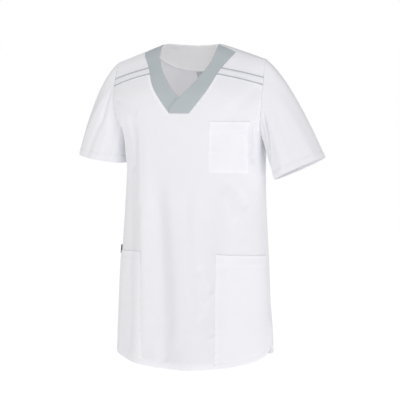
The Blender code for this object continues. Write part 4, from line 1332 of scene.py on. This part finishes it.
def sleeve_surface(hand):
    """Outer points of a sleeve by row and place round it, with their normals, and the cloth's metres."""
    size = SLEEVES[hand]
    side = size["side"]
    seam, ahead, outward = sleeve_ring(side)
    count = len(seam)
    tip = len(arm_front) - 1
    along = chords(np.vstack([seam, seam[:1]]))
    front_share = along[:tip + 1] / along[tip]
    back_share = (along[tip + 1:count] - along[tip]) / (along[count] - along[tip])
    angle = np.concatenate([math.pi * (1 + front_share), math.pi * back_share])
    height = np.concatenate([front_share, 1 - back_share])
    turn = np.concatenate([front_share / 2, 0.5 + back_share / 2])
    tilt = math.radians(size["tilt"])
    fall = math.radians(size["cap_fall"])
    across = np.array((side * math.cos(tilt), 0.0, math.sin(tilt)))
    down_arm = np.array((side * math.sin(tilt), 0.0, -math.cos(tilt)))
    cap = np.array((side * math.cos(fall), 0.0, -math.sin(fall)))
    hem = (np.array(size["centre"]) * (side, 1, 1)
           + size["across"] * np.cos(angle)[:, None] * across
           + size["deep"] * np.sin(angle)[:, None] * np.array((0.0, 1.0, 0.0)))
    share = ease(height)[:, None]
    leave = (1 - share) * down_arm + share * cap
    leave /= np.linalg.norm(leave, axis=1, keepdims=True)
    folded_back = np.clip((leave * outward).sum(axis=1), 0.0, 1.0)
    folded_back[0] = 1.0
    clear = SEAM_GAP * (0.5 * ahead + 1.2 * ease(folded_back * 3)[:, None] * outward)
    start = seam + clear
    reach = np.linalg.norm(hem - start, axis=1)[:, None]
    part = np.linspace(0.0, 1.0, SLEEVE_ROWS)[:, None, None]
    outer = ((2 * part ** 3 - 3 * part ** 2 + 1) * start
             + (part ** 3 - 2 * part ** 2 + part) * reach * CAP_PULL * leave
             + (3 * part ** 2 - 2 * part ** 3) * hem
             + (part ** 3 - part ** 2) * reach * HEM_PULL * down_arm)
    facing = sleeve_normals(outer, side)
    facing[0] = np.where((folded_back > 0)[:, None], facing[0], outward)
    down = np.linspace(0.0, 1.0, SLEEVE_ROWS)[:, None]
    length = down * reach[:, 0][None, :]
    girth = along[count]
    lift = np.zeros((SLEEVE_ROWS, count))
    for crease_hand, turn0, down0, turn1, down1, half_width, crease in SLEEVE_CREASES:
        if crease_hand != hand:
            continue
        share = (down - down0) / (down1 - down0)
        aside = (turn[None, :] - turn0 - (turn1 - turn0) * share) * girth
        fade = ease(share / 0.3) * ease((1.15 - share) / 0.3)
        lift += crease * fade * np.exp(-(aside / half_width) ** 2)
    from_hem = reach[:, 0][None, :] - length
    lift += HEM_STANDS * ease((SLEEVE_HEM - from_hem) / HEM_SOFT)
    lift -= 0.0008 * np.exp(-((from_hem - SLEEVE_HEM) / HEM_SOFT) ** 2)
    lift -= 0.0003 * np.exp(-(length / 0.0034) ** 2)
    around = np.broadcast_to(turn[None, :] * girth, lift.shape)
    lift += 0.0004 * np.exp(-(length / 0.012) ** 2) * ripple(around, 0.014)
    outer = outer + facing * lift[..., None]
    return outer, sleeve_normals(outer, side), np.stack([around, length], axis=-1)


def sleeve_normals(outer, side):
    round_way = np.roll(outer, -1, axis=1) - np.roll(outer, 1, axis=1)
    down_way = np.gradient(outer, axis=0)
    facing = np.cross(down_way, round_way) * side
    return facing / np.linalg.norm(facing, axis=2, keepdims=True)


sleeve_outers = {}
for hand, size in SLEEVES.items():
    side = size["side"]
    outer, facing, metres = sleeve_surface(hand)
    sleeve_outers[hand] = (outer, facing, metres)
    rows, count = outer.shape[:2]
    shells = [outer, outer - facing * WALL]
    faces = []
    total = rows * count
    for row in range(rows - 1):
        for k in range(count):
            a = row * count + k
            b = row * count + (k + 1) % count
            quad = (a, b, b + count, a + count)[::-side]
            faces += [quad, tuple(corner + total for corner in quad[::-1])]
    for first, turned in ((0, side), ((rows - 1) * count, -side)):
        for k in range(count):
            a = first + k
            b = first + (k + 1) % count
            faces.append((a, b, b + total, a + total)[::turned])
    points = np.vstack([shell.reshape(-1, 3) for shell in shells])
    grain = np.vstack([metres.reshape(-1, 2)] * 2)
    sleeve = new_piece(f"sleeve_{hand}_cloth", points, faces, white_cloth, grain)
    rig.replaces(sleeve, f"sleeve_{hand}")
    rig.slot(sleeve, "white_cloth")
    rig.sheet(sleeve, flat=size["flat"], area=size["area"], held="hung",
             rests_on=["front_body", "back_body"])

# ---------------------------------------------------------------- stitching
# White thread. Lockstitch rows hold the hems, the seams of band and piping, the armholes,
# the facing and the pockets, which have two rows. Each stitch is one short bead of thread.

STITCH_LENGTH = 0.0026
STITCH_GAP = 0.0010
THREAD = 0.00050
ROW_IN = 0.0020             # from an edge to its first row of stitches
ROW_APART = 0.0045          # from the first row to the second


def finely(line, step=0.0030):
    """The line again, with points so close that it follows the cloth."""
    along = chords(line)
    places = np.linspace(0.0, along[-1], max(2, int(along[-1] / step)))
    return np.stack([np.interp(places, along, line[:, k]) for k in (0, 1)], axis=1)


def beside(line, distance):
    """The line moved sideways on the chart, to its left as it runs."""
    line = finely(line)
    run = np.gradient(line, axis=0)
    run /= np.linalg.norm(run, axis=1, keepdims=True)
    return line + distance * np.stack([-run[:, 1], run[:, 0]], axis=1)


def sewn(line, relief, level=0.0):
    """Points of a row on the cloth, from its line on the chart."""
    s, t = finely(line).T
    return form(s, t) + normals(form, s, t) * (level + relief(s, t) + 0.15 * THREAD)[:, None]


# Geometry Nodes: every edge run of the mesh becomes a row of stitches.
stitches = new_group("stitches", "GeometryNodeTree", (
    ("Geometry", "INPUT", "NodeSocketGeometry", None),
    ("Stitch length", "INPUT", "NodeSocketFloat", STITCH_LENGTH),
    ("Stitch gap", "INPUT", "NodeSocketFloat", STITCH_GAP),
    ("Thread", "INPUT", "NodeSocketFloat", THREAD),
    ("Seed", "INPUT", "NodeSocketInt", 4),
    ("Material", "INPUT", "NodeSocketMaterial", None),
    ("Geometry", "OUTPUT", "NodeSocketGeometry", None),
))
fill(stitches, (
    ("given", "NodeGroupInput", {}, {}),
    ("out", "NodeGroupOutput", {}, {}),
    ("curve", "GeometryNodeMeshToCurve", {}, {}),
    ("pitch", "ShaderNodeMath", {"operation": "ADD"}, {}),
    ("places", "GeometryNodeCurveToPoints", {"mode": "LENGTH"}, {}),
    ("bead", "GeometryNodeMeshUVSphere", {}, {"Segments": 6, "Rings": 4, "Radius": 0.5}),
    ("along", "FunctionNodeAlignRotationToVector", {"axis": "Z"}, {}),
    ("uneven", "FunctionNodeRandomValue", {"data_type": "FLOAT"}, {2: 0.90, 3: 1.08}),
    ("stretched", "ShaderNodeMath", {"operation": "MULTIPLY"}, {}),
    ("size", "ShaderNodeCombineXYZ", {}, {}),
    ("set_down", "GeometryNodeInstanceOnPoints", {}, {}),
    ("real", "GeometryNodeRealizeInstances", {}, {}),
    ("painted", "GeometryNodeSetMaterial", {}, {}),
), (
    ("given", "Geometry", "curve", "Mesh"),
    ("given", "Stitch length", "pitch", 0),
    ("given", "Stitch gap", "pitch", 1),
    ("curve", "Curve", "places", "Curve"),
    ("pitch", 0, "places", "Length"),
    ("places", "Tangent", "along", "Vector"),
    ("given", "Seed", "uneven", "Seed"),
    ("given", "Stitch length", "stretched", 0),
    ("uneven", 1, "stretched", 1),
    ("given", "Thread", "size", "X"),
    ("given", "Thread", "size", "Y"),
    ("stretched", 0, "size", "Z"),
    ("places", "Points", "set_down", "Points"),
    ("bead", "Mesh", "set_down", "Instance"),
    ("along", "Rotation", "set_down", "Rotation"),
    ("size", "Vector", "set_down", "Scale"),
    ("set_down", "Instances", "real", "Geometry"),
    ("real", "Geometry", "painted", "Geometry"),
    ("given", "Material", "painted", "Material"),
    ("painted", "Geometry", "out", "Geometry"),
))
thread = plain_material("white_thread", {"Base Color": (0.93, 0.93, 0.95, 1.0), "Roughness": 0.55})


def stitch_rows(name, rows, slot):
    """One piece with a row of stitches along each run of points."""
    points = np.vstack(rows)
    edges = []
    first = 0
    for row in rows:
        edges += [(first + k, first + k + 1) for k in range(len(row) - 1)]
        first += len(row)
    mesh = bpy.data.meshes.new(name)
    mesh.from_pydata([tuple(point) for point in points], edges, [])
    drawn = placed(name, mesh)
    sewing = drawn.modifiers.new("stitches", "NODES")
    sewing.node_group = stitches
    for socket in stitches.interface.items_tree:
        if socket.in_out == "INPUT" and socket.name == "Material":
            sewing[socket.identifier] = thread
    graph = bpy.context.evaluated_depsgraph_get()
    drawn.data = bpy.data.meshes.new_from_object(drawn.evaluated_get(graph))
    drawn.modifiers.clear()
    drawn.data.shade_smooth()
    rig.ride(drawn, "root")
    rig.slot(drawn, slot)


def both(line, distance):
    """A line moved outwards on the viewer's right, and its mirror image."""
    moved = beside(line, distance)
    return [moved, mirrored(moved)]


def plain(s, t):
    return np.zeros(np.shape(s))


front_rows = []
for line in (*both(half_hem, HEM_DEPTH), *both(band_outer, -ROW_IN), *both(arm_front[2:], ROW_IN),
             beside(band_bottom, ROW_IN), *both(finely(lower_piping[1])[3:], ROW_IN)):
    front_rows.append(sewn(line, front_relief))
stitch_rows("stitches_front", front_rows, "white_cloth")

back_rows = []
for line in (*both(half_back_hem, -HEM_DEPTH), *both(arm_back[2:], -ROW_IN),
             beside(shoulder_cut[np.abs(shoulder_cut[:, 0]) < arm_front[0, 0]], -ROW_IN),
             beside(whole_back_neck, -ROW_IN)):
    line = line[inside(cloth_edge, line) & ~inside(neck_opening, line) & ~inside(band_over, line)
                & ~inside(band_under, line)]
    gaps = np.flatnonzero(np.linalg.norm(np.diff(line, axis=0), axis=1) > 0.02) + 1
    back_rows += [sewn(run, back_relief) for run in np.split(line, gaps) if len(run) > 3]
stitch_rows("stitches_back", back_rows, "white_cloth")

facing_row = sewn(beside(whole_facing_edge, ROW_IN), plain, level=-WALL - LAYER - 0.3 * THREAD)
stitch_rows("stitches_facing", [facing_row], "white_cloth")

pocket_rows = [sewn(line, chest_relief, POCKET_WALL) for line in (
    beside(chest_sides, ROW_IN), beside(chest_sides, ROW_IN + ROW_APART),
    beside(chest_top, POCKET_HEM))]
for hand, side in (("left", 1), ("right", -1)):
    top, inner_edge = pocket_lines(hand)
    for line in (beside(inner_edge, -ROW_IN), beside(inner_edge, -ROW_IN - ROW_APART),
                 beside(top, POCKET_HEM)):
        line = line[inside(cloth_edge, line)] * (side, 1)
        pocket_rows.append(sewn(line, pocket_relief[hand], POCKET_WALL))
stitch_rows("stitches_pockets", pocket_rows, "white_cloth")

sleeve_rows = []
for hand, (outer, facing, metres) in sleeve_outers.items():
    lengths = metres[..., 1]
    down = 1.0 - SLEEVE_HEM / lengths[-1]
    row = down * (SLEEVE_ROWS - 1)
    low = np.floor(row).astype(int)
    share = (row - low)[:, None]
    columns = np.arange(outer.shape[1])
    ring = outer[low, columns] * (1 - share) + outer[low + 1, columns] * share
    ring = ring + facing[low, columns] * 0.2 * THREAD
    sleeve_rows.append(np.vstack([ring, ring[:1]]))
stitch_rows("stitches_sleeves", sleeve_rows, "white_cloth")

# ---------------------------------------------------------------- floor, light and camera
# The top hangs as it is worn, above a plain pale floor, in soft studio light from the front right.

WHITE = (1.0, 1.0, 1.0, 1.0)
FLOOR_Z = -1.45
FLOOR_REACH = 150.0
FLOOR_GLOW = 0.60           # the floor's own light, which keeps it as pale as a studio sweep
WORLD_LIGHT = 0.43
CAMERA = {"azimuth": 20.26, "elevation": 5.11, "distance": 4.5, "target": (0.0, 0.02, -0.35),
          "pixels_per_metre": 428.6, "image": 400, "target_pixel": (194.6, 203.3)}

floor_mesh = bpy.data.meshes.new("floor")
floor_mesh.from_pydata([(x * FLOOR_REACH, y * FLOOR_REACH, FLOOR_Z) for x, y in
                        ((-1, -1), (1, -1), (1, 1), (-1, 1))], [], [(0, 1, 2, 3)])
floor = placed("floor", floor_mesh)
floor_mesh.materials.append(plain_material("floor", {
    "Base Color": (0.92, 0.92, 0.92, 1.0), "Roughness": 0.9, "Emission Color": WHITE,
    "Emission Strength": FLOOR_GLOW}))
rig.stage(floor)

world = bpy.data.worlds.new("studio")
world.use_nodes = True
glow = world.node_tree.nodes["Background"]
glow.inputs["Color"].default_value = WHITE
glow.inputs["Strength"].default_value = WORLD_LIGHT
fill(world.node_tree, (
    ("backdrop", "ShaderNodeBackground", {}, {"Color": WHITE}),
    ("seen", "ShaderNodeLightPath", {}, {}),
    ("chosen", "ShaderNodeMixShader", {}, {}),
), (
    ("seen", "Is Camera Ray", "chosen", 0),
    ("glow", 0, "chosen", 1),
    ("backdrop", 0, "chosen", 2),
    ("chosen", 0, "surface", "Surface"),
), glow=glow, surface=world.node_tree.nodes["World Output"])
bpy.context.scene.world = world

LIGHTS = (
    # name, place, aim, size, power in watts, colour
    ("key", (2.9, -2.7, 1.8), (0.0, 0.02, -0.35), 2.0, 51.0, (1.0, 1.0, 1.0)),
    ("fill", (-2.8, -2.6, 0.2), (0.0, 0.02, -0.35), 2.6, 2.4, (1.0, 0.80, 0.62)),
    ("shoulder", (-0.8, -0.9, 1.15), (-0.13, 0.02, -0.05), 0.6, 4.6, (1.0, 1.0, 1.0)),
    ("inside", (0.0, -0.02, -0.17), (0.0, 0.11, -0.03), 0.10, 0.08, (1.0, 0.97, 0.90)),
)
for name, place, aim, size, power, colour in LIGHTS:
    lamp = bpy.data.lights.new(name, "AREA")
    lamp.size = size
    lamp.energy = power
    lamp.color = colour
    light = placed(name, lamp)
    light.visible_camera = False
    light.location = place
    light.rotation_euler = (Vector(aim) - Vector(place)).to_track_quat("-Z", "Y").to_euler()

lens = bpy.data.cameras.new("camera")
lens.sensor_width = 36.0
lens.lens = CAMERA["pixels_per_metre"] * CAMERA["distance"] / CAMERA["image"] * lens.sensor_width
lens.shift_x = (CAMERA["image"] / 2 - CAMERA["target_pixel"][0]) / CAMERA["image"]
lens.shift_y = (CAMERA["target_pixel"][1] - CAMERA["image"] / 2) / CAMERA["image"]
lens.clip_end = 400.0
camera = placed("camera", lens)
azimuth = math.radians(CAMERA["azimuth"])
elevation = math.radians(CAMERA["elevation"])
away = Vector((math.sin(azimuth) * math.cos(elevation), -math.cos(azimuth) * math.cos(elevation),
               math.sin(elevation)))
camera.location = Vector(CAMERA["target"]) + away * CAMERA["distance"]
camera.rotation_euler = away.to_track_quat("Z", "Y").to_euler()
bpy.context.scene.camera = camera
bpy.context.scene.view_settings.view_transform = "Standard"

with open("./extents.json", "w") as out:
    json.dump({"cad": [list(map(float, corner)) for corner in cad_box],
               "visual": [list(map(float, corner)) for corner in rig.bounds()]}, out)
